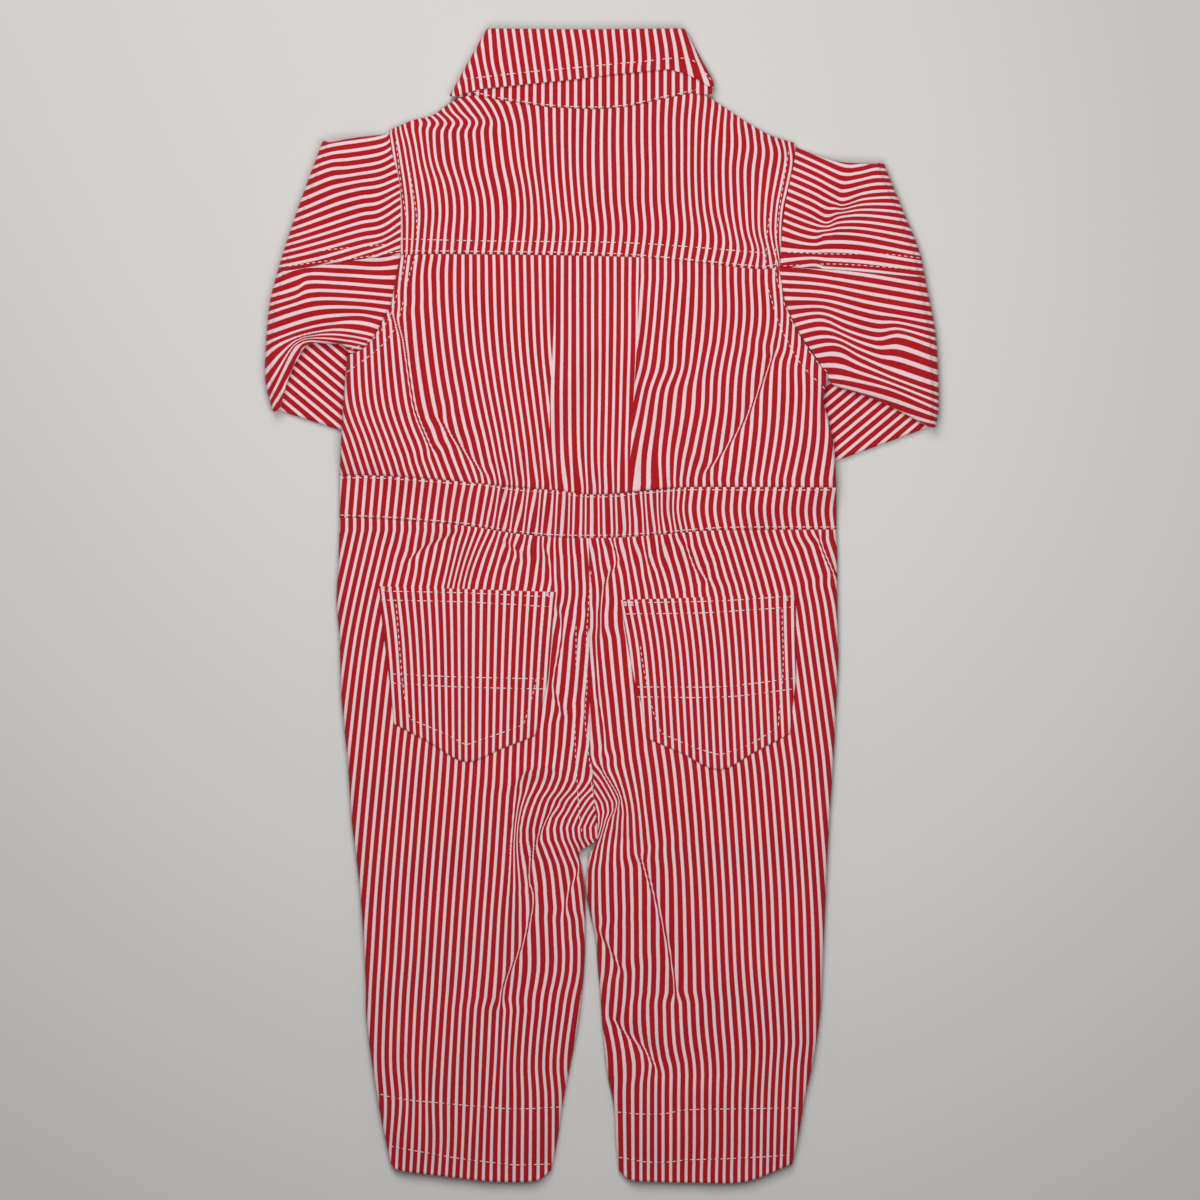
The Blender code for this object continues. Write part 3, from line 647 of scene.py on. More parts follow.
# ---------------------------------------------------------------- stripes
# Guide lines: each is (stripe number, plan line) down the cloth. A zone is a
# list of them from left to right, and folds hide the cloth between two zones.
YOKE_GRAIN = [[
    (-26, [(391, 134), (395, 160), (399, 185), (401, 210), (402, 262)]),
    (-23, [(404, 124), (409, 143), (412, 160), (416, 185), (419, 210), (418, 235), (415, 262)]),
    (-19, [
        (427, 112), (438, 123), (434, 132), (436, 160), (444, 185), (447, 210), (445, 235),
        (443, 262)]),
    (-15, [
        (449, 98), (456, 105), (461, 112), (470, 122), (466, 132), (467, 145), (470, 170),
        (477, 200), (477, 235), (474, 262)]),
    (-13, [
        (467, 97), (474, 105), (479, 112), (484, 121), (482, 131), (483, 145), (486, 170),
        (492, 200), (493, 230), (490, 262)]),
    (-10, [
        (495, 98), (500, 105), (503, 112), (507, 125), (509, 143), (512, 165), (517, 190),
        (518, 215), (513, 262)]),
    (-5, [(546, 107), (547, 140), (549, 175), (552, 205), (554, 230), (550, 262)]),
    (0, [(586, 108), (585, 140), (585, 170), (587, 200), (590, 230), (587, 262)]),
    (7, [(642, 106), (642, 140), (643, 170), (643, 200), (645, 230), (641, 262)]),
    (12, [(684, 98), (682, 120), (682, 150), (682, 175), (683, 200), (685, 230), (681, 262)]),
    (17, [(720, 106), (718, 125), (716, 150), (716, 180), (718, 210), (724, 240), (719, 268)]),
    (21, [(745, 124), (748, 145), (745, 170), (746, 200), (748, 230), (753, 250), (749, 268)]),
    (25, [(776, 139), (780, 155), (776, 180), (772, 205), (771, 235), (779, 268)]),
    (28, [(795, 146), (797, 165), (792, 190), (786, 215), (783, 268)]),
]]
BODY_GRAIN = [
    [
        (-32.5, [(322, 345), (322, 400), (335, 440), (347, 480)]),
        (-19, [(409, 255), (405, 296), (409, 340), (414, 380), (420, 414), (432, 448), (445, 482)]),
        (-16, [(432, 255), (429.6, 279), (434.7, 340), (443, 397), (456.7, 448), (470, 482)]),
        (-12, [
            (463, 255), (463.4, 301), (467, 346), (472.7, 380), (480, 414), (488, 448),
            (495.5, 482)]),
        (-7, [(501.5, 255), (504, 330), (509, 380), (516.7, 431), (522.6, 482)]),
        (-3, [(532, 255), (534.4, 340), (540.3, 397), (550.5, 482)]),
    ],
    [
        (-3, [(554.5, 255), (554, 340), (552.5, 400), (553.5, 450), (557, 488)]),
        (0, [(577.5, 255), (577.8, 340), (578, 400), (579, 450), (582, 488)]),
        (3, [(600, 260), (600, 340), (599.5, 400), (598.5, 456), (600, 488)]),
        (8, [(637.7, 260), (637, 340), (635, 400), (632, 488)]),
    ],
    [
        (0, [(642.4, 280), (637, 340), (624, 400), (612, 440), (598, 490)]),
        (5, [
            (681, 280), (678.6, 310), (676, 340), (674.6, 368), (666.4, 391), (663, 424),
            (660, 456), (662, 485)]),
        (9, [
            (712.5, 280), (712.8, 310), (710.3, 340), (704, 375), (702, 408), (695.7, 440),
            (687.6, 479)]),
        (17, [
            (773.8, 280), (776, 320), (769, 359), (764.8, 391), (762, 424), (757.5, 456),
            (754, 479)]),
        (21.4, [(802, 345), (799.8, 368), (800, 400), (796, 440), (788, 479)]),
        (24, [(820, 380), (819, 405), (818, 440), (812, 479)]),
    ],
]
WAIST_GRAIN = [[
    (-31, [(341, 478), (338, 520)]),
    (-13, [(488, 484), (480, 530)]),
    (-9, [(512, 488), (503, 533)]),
    (0, [(564, 492), (562, 538)]),
    (4.5, [(589, 495), (589, 538)]),
    (13, [(640, 492), (644, 535)]),
    (21.5, [(688, 488), (686, 510), (690, 532)]),
    (39.5, [(838, 488), (835, 510), (837, 530)]),
]]
SEAT_LEFT_GRAIN = [[
    (-24, [(347, 530), (325, 640), (308, 780), (300, 880), (294, 960), (290, 1180)]),
    (-18, [(394, 530), (370, 640), (354, 780), (346, 880), (341, 960), (337, 1180)]),
    (-14, [
        (425, 530), (402, 640), (392, 720), (386, 780), (377, 880), (372, 960), (370, 1000),
        (368, 1060), (371, 1120), (368, 1180)]),
    (-10, [
        (456, 530), (432, 640), (422, 720), (416, 780), (408, 880), (403, 960), (400, 1000),
        (398, 1060), (401, 1100), (398, 1140), (396, 1180)]),
    (-5, [
        (489, 530), (476, 560), (468, 590), (464, 640), (459, 700), (455, 780), (447, 880),
        (441.5, 960), (439, 1000), (435, 1060), (433, 1100), (434, 1140), (431.6, 1180)]),
    (0, [
        (519, 535), (513, 560), (508, 590), (503, 640), (498, 700), (493, 780), (486, 880),
        (480, 960), (476, 1000), (473, 1060), (472, 1100), (470, 1140), (468, 1180)]),
    (3, [
        (539, 537), (533, 590), (526, 640), (521, 700), (516, 780), (508, 880), (502.5, 960),
        (498.5, 1000), (495.5, 1060), (493, 1100), (491.6, 1140), (491, 1180)]),
    (6, [
        (555, 538), (556, 590), (549, 640), (543, 700), (538, 775), (525, 805), (519, 840),
        (524, 900), (523.5, 960), (519, 1000), (514.6, 1060), (515, 1100), (514, 1180)]),
    (10, [
        (581, 538), (583, 590), (580, 640), (575, 700), (568, 775), (552, 805), (543, 835),
        (552, 870), (556.4, 960), (550, 1000), (543.7, 1060), (546, 1100), (546, 1180)]),
    (13, [
        (604, 538), (606, 590), (603, 640), (598, 700), (590, 775), (574, 800), (562, 830),
        (573, 870), (578.6, 960), (573, 1000), (565, 1060), (567, 1100), (565, 1180)]),
    (17, [
        (634, 538), (636, 640), (628, 700), (620, 770), (600, 800), (584, 830), (594, 860),
        (606, 960), (600, 1060), (594, 1180)]),
]]
SEAT_RIGHT_GRAIN = [[
    (-5, [
        (536, 535), (542, 640), (548, 740), (553, 770), (583, 808), (590, 832), (568, 862),
        (560, 960), (566, 1173)]),
    (1, [
        (572, 535), (577, 590), (577, 640), (583, 740), (588, 765), (603, 787), (612, 808),
        (604, 835), (600, 880), (602, 960), (600, 1000), (599, 1020), (606, 1060), (610, 1173)]),
    (5, [
        (596, 535), (602, 590), (603, 640), (613, 740), (618, 770), (628, 805), (628, 850),
        (630, 880), (633, 960), (632, 1000), (633, 1030), (641, 1060), (641, 1100), (641, 1173)]),
    (8, [
        (615, 535), (624, 590), (628, 640), (637, 740), (644, 790), (650, 850), (653, 880),
        (656, 960), (656, 1000), (658, 1040), (663, 1068), (663, 1100), (663, 1173)]),
    (14, [
        (655, 533), (660, 560), (669, 595), (674, 640), (687, 740), (692, 780), (700, 880),
        (703.5, 960), (706, 1020), (709, 1052), (710.5, 1071), (710, 1093), (710, 1140), (709, 1173)]),
    (20, [
        (697, 532), (707, 560), (716, 595), (722, 640), (735, 740), (740, 780), (747, 880),
        (750.7, 960), (754, 1000), (757, 1040), (757, 1060), (755, 1100), (754, 1173)]),
    (26, [
        (743, 530), (760, 590), (769, 640), (782, 740), (787, 780), (795, 880), (798, 960),
        (801, 1040), (799, 1060), (797, 1100), (794, 1175)]),
    (32, [
        (789, 530), (807, 590), (815, 640), (829, 740), (833, 780), (841, 880), (845, 960),
        (840, 1060), (838, 1175)]),
    (38, [(835, 530), (853, 590), (861, 640), (875, 740), (887, 880), (890, 960), (885, 1175)]),
]]
LEFT_POCKET_GRAIN = [[
    (-11, [(382, 586), (390, 650), (397, 762)]),
    (0, [(466, 586), (466, 660), (466, 762)]),
    (11.5, [(556, 590), (550, 660), (544, 762)]),
]]
RIGHT_POCKET_GRAIN = [[
    (-12, [(621, 598), (632, 660), (640, 770)]),
    (0, [(709, 598), (716, 660), (722, 770)]),
    (11.5, [(796, 592), (797, 660), (802, 770)]),
]]
# The sleeves' guide lines run sideways, from the top down.
SLEEVE_GRAIN = {
    "over_left": [
        (-3, [(305, 156), (330, 146), (380, 138), (392, 130)]),
        (0, [(300, 182), (329, 169.5), (349, 167.5), (379, 162.5), (394, 155)]),
        (3, [(290, 215), (319, 202), (339, 194), (359, 189), (379, 186), (400, 178)]),
        (6, [(280, 241), (319, 228), (359, 215), (379, 211), (402, 197)]),
        (9, [(276, 261), (319, 250), (359, 239), (383, 234), (404, 220)]),
        (12, [(276, 280), (319, 274), (359, 262), (404, 245)]),
    ],
    "under_left": [
        (0, [(272, 279), (300, 267), (339, 266.5), (379, 268.5), (404, 266)]),
        (2.1, [(268, 298), (295, 290), (309, 283), (339, 284), (400, 289)]),
        (4.5, [(262, 320), (289, 310), (319, 303), (359, 304), (396, 308)]),
        (6.5, [(262, 340), (280, 334), (300, 327), (325, 321), (359, 318), (386, 324)]),
        (8, [(262, 358), (280, 344), (309, 333.7), (339, 330), (371, 335), (386, 343)]),
        (10.8, [
            (262, 410), (270, 397), (280, 375), (290, 354), (298, 344), (311, 340),
            (345, 344), (380, 352)]),
        (12.4, [
            (270, 418), (276, 407), (290, 384), (298, 362), (303, 350), (315, 346),
            (345, 352), (380, 362)]),
    ],
    "over_right": [
        (0, [(785, 141), (799, 147), (821, 157), (844, 166), (860, 165.7), (877, 162), (895, 166)]),
        (4.4, [
            (785, 176), (815, 189), (835, 200), (844, 202.6), (864, 196), (891, 193.6),
            (905, 198)]),
        (7.8, [(780, 201), (810, 214), (826, 222), (840, 216), (866, 214), (900, 218), (912, 222)]),
        (11.2, [
            (776, 227), (799, 236), (815, 239), (828, 235), (860, 236), (913, 247),
            (925, 250)]),
        (13.4, [(776, 254), (815, 254), (860, 256), (920, 265), (930, 267)]),
    ],
    "under_right": [
        (0, [(776, 273), (815, 276), (860, 283), (922, 294), (945, 300)]),
        (2.8, [(780, 296), (826, 299), (871, 310), (931, 321), (945, 325)]),
        (6, [
            (785, 328), (810, 321), (826, 321), (848, 331), (877, 339), (900, 335),
            (935, 347), (950, 352)]),
        (9.4, [(800, 354), (835, 347), (860, 359), (895, 375), (938, 390), (950, 395)]),
        (12.2, [(815, 378), (835, 379), (860, 383), (895, 392), (938, 411), (950, 416)]),
        (13.6, [(815, 386), (833, 388), (871, 399), (935, 420), (950, 425)]),
    ],
}


def interpolate(points, lines, sideways=False):
    """Stripe numbers at plan points, between guide lines that run down or sideways."""
    down = -points[..., 1] / UNIT + MIDDLE[1]
    across = points[..., 0] / UNIT + MIDDLE[0]
    if sideways:
        down, across = across, down
    at = []
    for _, line in lines:
        run = curve(line, np.linspace(0, 1, 60))
        y = -run[:, 1] / UNIT + MIDDLE[1]
        x = run[:, 0] / UNIT + MIDDLE[0]
        if sideways:
            x, y = y, x
        order = np.argsort(y)
        at.append(np.interp(down, y[order], x[order]))
    numbers = [number for number, _ in lines]
    total = np.zeros(down.shape)
    for k in range(len(lines) - 1):
        rate = (numbers[k + 1] - numbers[k]) / (at[k + 1] - at[k])
        low = at[k] if k else np.full(down.shape, -1e9)
        high = at[k + 1] if k < len(lines) - 2 else np.full(down.shape, 1e9)
        here = (across >= low) & (across < high)
        total = np.where(here, numbers[k] + (across - at[k]) * rate, total)
    return total


def tracked(points, line):
    """Signed distance from a plan line, how far along it is, and which way is off it."""
    rel, way, t = nearest(points, line)
    size = np.linalg.norm(way, axis=-1)
    far = np.linalg.norm(rel - t[..., None] * way, axis=-1)
    k = far.argmin(-1)
    pick = np.take_along_axis
    sign = np.sign(way[..., 0] * rel[..., 1] - way[..., 1] * rel[..., 0])
    start = np.concatenate([[0], np.cumsum(size)])[:-1]
    place = start[k] + pick(t, k[..., None], -1)[..., 0] * size[k]
    across = (-way[:, 1] / np.maximum(size, 1e-12))[k]
    return pick(far * sign, k[..., None], -1)[..., 0], place, size.sum(), across


# Fine creases: (height mm, half width mm, cloth tucked in mm, plan line). A
# positive one rolls the cloth on the line's left over that on its right.
CREASES = [
    (0.9, 4.0, 4.0, [(389, 307), (398, 328), (404, 344), (413, 402), (420, 423), (435, 457)]),
    (0.9, 4.0, 3.0, [(433, 412), (444, 426), (456, 442), (473, 461), (492, 480)]),
    (-0.9, 4.0, 4.0, [(776, 346), (769, 366), (750, 410), (737, 432), (719, 457), (700, 476)]),
    (0.9, 3.0, 2.0, [
        (516, 797), (517, 784), (524, 774), (533, 769), (546, 768), (557, 772), (566, 778)]),
    (0.7, 3.0, 2.0, [(529, 807), (543, 801), (559, 803), (570, 810)]),
    (-0.9, 4.0, 4.0, [
        (556, 804), (543, 826), (533, 850), (528, 880), (534, 900), (522, 945), (503, 985),
        (500, 1012)]),
    (0.7, 3.0, 3.0, [(580, 855), (578, 872), (571, 886), (566, 902), (564, 922)]),
    (-0.9, 3.0, 3.0, [
        (607, 1013), (613, 1020), (630, 1038), (643, 1048), (653, 1063), (660, 1076)]),
    (0.9, 3.0, 3.0, [(595, 922), (603, 938), (608, 945), (616, 960), (626, 978)]),
    (0.9, 4.0, 4.0, [(637, 850), (649, 880), (659, 911), (669, 949), (675, 985), (676, 1005)]),
    (0.8, 3.0, 4.0, [(598, 760), (607, 778), (620, 798), (614, 812), (604, 824)]),
    (0.7, 2.5, 1.0, [(602, 840), (612, 838), (625, 837), (640, 840)]),
    (0.7, 3.0, 3.0, [(498, 536), (508, 544), (517, 552), (522, 566)]),
    (-0.7, 4.0, 3.0, [(463, 530), (437, 541), (418, 551), (404, 566)]),
    (0.6, 3.0, 2.0, [(540, 538), (548, 557), (553, 580), (555, 592)]),
    (0.6, 3.0, 3.0, [(556, 600), (562, 624), (561, 645), (553, 682), (558, 702), (566, 721)]),
    (-0.7, 3.0, 3.0, [(607, 532), (618, 558), (608, 576), (602, 596), (600, 640)]),
    (0.8, 3.0, 3.0, [(684, 534), (690, 556), (697, 570), (707, 578), (711, 592)]),
    (0.6, 3.0, 2.0, [(646, 540), (647, 556), (653, 576)]),
    (0.7, 3.0, 5.0, [(816, 530), (824, 553), (832, 570), (837, 584)]),
    (-0.7, 3.0, 2.0, [(596, 600), (596, 650), (598, 700), (604, 730), (603, 760)]),
]


def crease(points):
    """Height and stripe shift that the fine creases give at plan points."""
    height, shift = np.zeros(points.shape[:-1]), np.zeros(points.shape[:-1])
    for rise, width, tuck, line in CREASES:
        run = curve(line, np.linspace(0, 1, 24))
        off, place, whole, across = tracked(points, run)
        fade = ease(place / 0.008) * ease((whole - place) / 0.008)
        step = np.tanh(off / 0.0006)
        height += rise * 0.0005 * step * np.exp(-np.abs(off) / (width * 0.002)) * fade
        shift += tuck / (STRIPE_REPEAT * 1000) * across * 0.5 * step * np.exp(-np.abs(off) / 0.012) * fade
    return height, shift


SEAMS = [
    YOKE_SEAM, WAIST_TOP, WAIST_LOW, SEAT_SEAM, LEFT_ARM_OVER + LEFT_ARM_UNDER[1:],
    RIGHT_ARM_OVER + RIGHT_ARM_UNDER[1:],
]


def relief(points):
    """Fine relief of the back: seams' grooves and puckers, and soft unevenness."""
    total = np.zeros(points.shape[:-1])
    for n, line in enumerate(SEAMS):
        off, place, _, _ = tracked(points, curve(line, np.linspace(0, 1, 60)))
        total -= 0.00016 * np.exp(-((off / 0.0005) ** 2))
        wave = np.sin(place / 0.0013 + 2.0 * np.sin(place / 0.017 + n))
        wave = wave * (0.6 + 0.4 * np.sin(place / 0.009))
        total += 0.00013 * wave * np.exp(-((off / 0.005) ** 2))
    neck = apart(points, curve(YOKE_TOP[3:14], np.linspace(0, 1, 40)))
    total -= 0.0005 * np.exp(-((neck / 0.0016) ** 2))
    x, y = points[..., 0] * 1000, points[..., 1] * 1000
    total += 0.00016 * np.sin(x / 5.3 + 1.4 * np.sin(y / 19)) * np.sin(y / 13.7 + 1.1 * np.sin(x / 23))
    total += 0.00012 * np.sin(x / 3.1 + y / 17 + 2 * np.sin(y / 31))
    return total


SLEEVE_CREASES = [
    (-0.7, 2.5, [(398, 262), (345, 264), (318, 268), (305, 280), (296, 296), (285, 312)]),
    (-0.8, 3.0, [(386, 322), (356, 316), (330, 327), (315, 336), (303, 345)]),
    (-0.6, 3.0, [(338, 352), (345, 346), (352, 338), (366, 342)]),
    (-0.7, 2.5, [(782, 268), (832, 267), (885, 269), (924, 272)]),
    (-0.7, 3.0, [(812, 314), (824, 318), (840, 330), (862, 338), (885, 341)]),
    (-0.9, 3.0, [(815, 225), (835, 203), (852, 175), (858, 165)]),
    (-0.6, 3.0, [(830, 378), (842, 376), (870, 386), (905, 396)]),
]


def sleeve_relief(points):
    """Fine folds and soft unevenness of a sleeve."""
    total = np.zeros(points.shape[:-1])
    for rise, width, line in SLEEVE_CREASES:
        off, place, whole, _ = tracked(points, curve(line, np.linspace(0, 1, 24)))
        fade = ease(place / 0.006) * ease((whole - place) / 0.006)
        total += rise * 0.0005 * np.exp(-((off / (width * 0.0005)) ** 2)) * fade
    x, y = points[..., 0] * 1000, points[..., 1] * 1000
    return total + 0.00014 * np.sin(y / 3.9 + 1.3 * np.sin(x / 17)) * np.sin(x / 19 + y / 31)


# ------------------------------------------------------------------ cloth
def new_object(name, bm, material, slot):
    """A smooth object from a bmesh, riding on the body."""
    mesh = bpy.data.meshes.new(name)
    bm.to_mesh(mesh)
    bm.free()
    mesh.shade_smooth()
    mesh.materials.append(material)
    piece = bpy.data.objects.new(name, mesh)
    bpy.context.scene.collection.objects.link(piece)
    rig.slot(piece, slot)
    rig.ride(piece, "root")
    return piece


def sew_cloth(name, points, stripes, held, rests_on=(), folds_at=(), wall=FINE_WALL):
    """One piece of cloth: a grid on its points, its stripes, its wall and its cut.

    stripes has one array for each zone, and folds_at the columns where folds
    hide the cloth between two zones.
    """
    zones = np.zeros(len(points), int)
    for column in folds_at:
        zones[column:] += 1
    across, along = points.shape[:2]
    bm = bmesh.new()
    bmesh.ops.create_grid(bm, x_segments=across - 1, y_segments=along - 1, size=0.5)
    bm.verts.ensure_lookup_table()
    place = {}
    for v in bm.verts:
        i = round((v.co.x + 0.5) * (across - 1))
        j = round((v.co.y + 0.5) * (along - 1))
        place[v.index] = (i, j)
        v.co = points[i, j]
    length = np.linalg.norm(np.diff(points, axis=1), axis=-1).mean(0)
    down = np.concatenate([[0], np.cumsum(length)]) / STRIPE_REPEAT
    layer = bm.loops.layers.uv.new("stripes")
    for face in bm.faces:
        corners = [place[v.index] for v in face.verts]
        zone = zones[min(i for i, _ in corners)]
        for loop, (i, j) in zip(face.loops, corners):
            loop[layer].uv = (stripes[zone][i, j], down[j])
    piece = new_object("cloth_" + name, bm, bpy.data.materials["twill"], "striped_twill")
    shell = piece.modifiers.new("Wall", "SOLIDIFY")
    shell.thickness = wall
    shell.offset = 0.0
    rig.replaces(piece, name)
    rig.sheet(piece, **cut(points, held, rests_on))


def cut(points, held, rests_on=()):
    width = float(np.linalg.norm(np.diff(points, axis=0), axis=-1).sum(0).max())
    length = float(np.linalg.norm(np.diff(points, axis=1), axis=-1).sum(1).max())
    corner = points[:-1, :-1]
    across, along = points[1:, :-1] - corner, points[:-1, 1:] - corner
    area = float(np.linalg.norm(np.cross(across, along), axis=-1).sum())
    return {
        "flat": (width, length), "area": min(area, width * length),
        "held": held, "rests_on": rests_on}


def grained(points, lines):
    """Stripe numbers of a grid, once for every zone of guide lines."""
    return [interpolate(points[..., :2], zone) for zone in lines]


def draw_columns(plan, pulls):
    """Slide columns of a grid so that some of them follow plan lines."""
    columns = [0] + [column for column, _ in pulls] + [len(plan) - 1]
    shift = [np.zeros(plan.shape[1])]
    for column, line in pulls:
        run = curve(line, np.linspace(0, 1, 40))
        order = np.argsort(run[:, 1])
        shift.append(np.interp(plan[column, :, 1], run[order, 1], run[order, 0]) - plan[column, :, 0])
    shift.append(np.zeros(plan.shape[1]))
    moved = plan.copy()
    for i in range(len(plan)):
        moved[i, :, 0] += [np.interp(i, columns, column) for column in np.array(shift).T]
    return moved


def back_piece(
    name, low, high, left, right, size, grain, held, aside=None, raised=0.0, pulls=(), over=()
):
    """A piece of the back, with its creases, seams and stripes."""
    across, along = (np.linspace(0, 1, n) for n in size)
    gaps = {side: CLOSE_SEAM for side in ("low", "high", "left", "right")}
    gaps.update(aside or {})
    points = panel(low, high, left, right, across, along, lambda plan: plan[..., 0] * 0, gaps)
    if pulls:
        points = draw_columns(points, pulls)
    plan = points[..., :2]
    height, shift = crease(plan) if not raised else (0, 0)
    points[..., 2] = back_level(plan) + relief(plan) + height + raised
    shift = shift + GATHER_SWAY * gathers(plan) / GATHER
    stripes = [number + shift for number in grained(points, grain)]
    sew_cloth(name, points, stripes, held, over, [column for column, _ in pulls])


PLEATS = [
    [(554, 250), (554, 316), (552, 368), (550, 402), (550, 471), (553, 496)],
    [(639, 252), (638, 301), (637, 337), (634, 391), (631, 444), (628, 496)],
]
RIM_INSET = {"left": 0.0005, "right": 0.0005}


def add_back():
    """The yoke, the back with its pleat, and the gathered waistband."""
    back_piece(
        "back_yoke", YOKE_SEAM, YOKE_TOP, flip(LEFT_ARM_OVER), flip(RIGHT_ARM_OVER),
        (150, 60), YOKE_GRAIN, "laid", {"high": -0.0008}, over=["cloth_chest_left", "cloth_chest_right"])
    back_piece(
        "back_body", WAIST_TOP, YOKE_SEAM,
        flip(LEFT_SIDE) + flip(LEFT_ARM_UNDER)[1:], flip(RIGHT_SIDE) + flip(RIGHT_ARM_UNDER)[1:],
        (190, 90), BODY_GRAIN, "laid", RIM_INSET,
        pulls=[(80, PLEATS[0]), (113, PLEATS[1])], over=["cloth_chest_left", "cloth_chest_right"])
    back_piece(
        "waistband_back", WAIST_LOW, WAIST_TOP, [(339, 517.5), (339, 475.5)],
        [(837, 529.5), (837, 487.5)], (320, 18), WAIST_GRAIN, "gathered", RIM_INSET,
        over=["cloth_waistband_front_left"])


def add_seat():
    """The two backs of the legs, and the pockets on them."""
    back_piece(
        "seat_left", LEFT_HEM, WAIST_LOW_LEFT, flip(LEFT_OUTER),
        flip(LEFT_INSEAM[1:]) + [(597.7, 836)] + flip(SEAT_SEAM)[1:],
        (96, 260), SEAT_LEFT_GRAIN, "laid", {"left": 0.0005}, over=["cloth_front_leg_left"])
    back_piece(
        "seat_right", RIGHT_HEM, WAIST_LOW_RIGHT,
        flip(RIGHT_INSEAM[1:]) + [(597.3, 836)] + flip(SEAT_SEAM)[1:],
        flip(RIGHT_OUTER), (96, 260), SEAT_RIGHT_GRAIN, "laid", {"right": 0.0005},
        over=["cloth_front_leg_right"])
    for side, pocket, grain in (
        ("left", LEFT_POCKET, LEFT_POCKET_GRAIN), ("right", RIGHT_POCKET, RIGHT_POCKET_GRAIN)
    ):
        back_piece(
            f"pocket_{side}", pocket["foot"], pocket["hem"], flip(pocket["outer"]),
            flip(pocket["inner"]), (72, 64), grain, "laid", raised=POCKET_RAISED,
            over=[f"cloth_seat_{side}"])


def front_piece(name, low, high, left, right, size, grain, aside):
    """A plain piece of the front, with straight stripes."""
    across, along = (np.linspace(0, 1, n) for n in size)
    points = panel(low, high, left, right, across, along, front_level, aside)
    stripes = grained(points, grain)
    sew_cloth(name, points, stripes, "laid", wall=WALL)


PLAIN_GRAIN = [[(number, [(x, 90), (x, 1200)]) for number, x in ((-36, 300), (0, 588), (36, 876))]]


def add_front():
    """The plain front: two chest halves, a placket, a waistband and two legs."""
    middle, half, fly, crotch = 588.0, PLACKET_WIDTH / 2 / UNIT, 822, 838
    neck_left, neck_right = NECK_FRONT[:4], NECK_FRONT[3:]
    front_piece(
        "chest_left", [(339, 475.5), (460, 481), (middle - half, 486)],
        LEFT_SHOULDER + neck_left[:-1] + [(middle - half, 140)],
        flip(LEFT_SIDE) + flip(LEFT_ARM_UNDER)[1:] + flip(LEFT_ARM_OVER)[1:],
        [(middle - half, 486), (middle - half, 140)], (40, 60), PLAIN_GRAIN, {"left": FRONT_INSET})
    front_piece(
        "chest_right", [(middle + half, 486), (720, 486), (837, 487.5)],
        [(middle + half, 140)] + neck_right[1:] + RIGHT_SHOULDER,
        [(middle + half, 486), (middle + half, 140)],
        flip(RIGHT_SIDE) + flip(RIGHT_ARM_UNDER)[1:] + flip(RIGHT_ARM_OVER)[1:],
        (40, 60), PLAIN_GRAIN, {"right": FRONT_INSET})
    front_piece(
        "placket", [(middle - half, fly), (middle + half, fly)],
        [(middle - half, 140), (middle + half, 140)],
        [(middle - half, fly), (middle - half, 140)], [(middle + half, fly), (middle + half, 140)],
        (9, 90), PLAIN_GRAIN, {})
    front_piece(
        "waistband_front_left", [(339, 522), (middle - half, 528)],
        [(339, 475.5), (460, 481), (middle - half, 486)],
        [(339, 522), (339, 475.5)], [(middle - half, 528), (middle - half, 486)],
        (40, 8), PLAIN_GRAIN, {"left": FRONT_INSET})
    front_piece(
        "waistband_front_right", [(middle + half, 528), (837, 528)],
        [(middle + half, 486), (720, 486), (837, 487.5)],
        [(middle + half, 528), (middle + half, 486)], [(837, 528), (837, 487.5)],
        (40, 8), PLAIN_GRAIN, {"right": FRONT_INSET})
    rise_left = [(middle - half, crotch), (middle - half, 700), (middle - half, 528)]
    rise_right = [(middle + half, crotch), (middle + half, 700), (middle + half, 528)]
    front_piece(
        "front_leg_left", LEFT_HEM, [(339, 522), (middle - half, 528)],
        flip(LEFT_OUTER[1:]) + [(339, 522)], flip(LEFT_INSEAM[2:]) + rise_left,
        (40, 100), PLAIN_GRAIN, {"left": FRONT_INSET, "low": HEM_INSET, "right": RISE_GAP})
    front_piece(
        "front_leg_right", RIGHT_HEM, [(middle + half, 528), (837, 528)],
        flip(RIGHT_INSEAM[2:]) + rise_right, flip(RIGHT_OUTER[1:]) + [(837, 528)],
        (40, 100), PLAIN_GRAIN, {"right": FRONT_INSET, "low": HEM_INSET, "left": RISE_GAP})


N_ARM, N_SIDE = 70, 48  # a sleeve's rows down the upper arm, and from edge to seam


def sleeve_stripes(points, side, part):
    """Stripes of half a sleeve: along the arm, and across the forearm's slant."""
    bent = N_ARM + 8
    seen = interpolate(points[:N_SIDE, :bent, :2], SLEEVE_GRAIN[f"{part}_{side}"], sideways=True)
    edge, out = seen[-1:], -0.16 if part == "over" else 0.16
    stripes = np.zeros(points.shape[:2])
    stripes[:N_SIDE, :bent] = seen
    stripes[N_SIDE:N_SIDE + 3, :bent] = edge + out * np.array([[1], [2], [3]])
    stripes[N_SIDE + 3:, :bent] = 2 * (edge + 2 * out) - seen[::-1]
    slant = 0.643 if side == "right" else -0.643
    fore = (points[..., 0] * slant - points[..., 1] * 0.765) / STRIPE_REPEAT
    stripes[:, bent:] = stripes[:, bent - 1:bent]
    inner = np.arange(len(points)) > N_SIDE
    turn = ease((np.arange(points.shape[1]) - N_ARM + 16) / 14)
    late = ease((np.arange(points.shape[1]) - N_ARM - 16) / 14)
    share = np.where(inner[:, None], turn[None], late[None])
    return stripes + (fore - stripes) * share


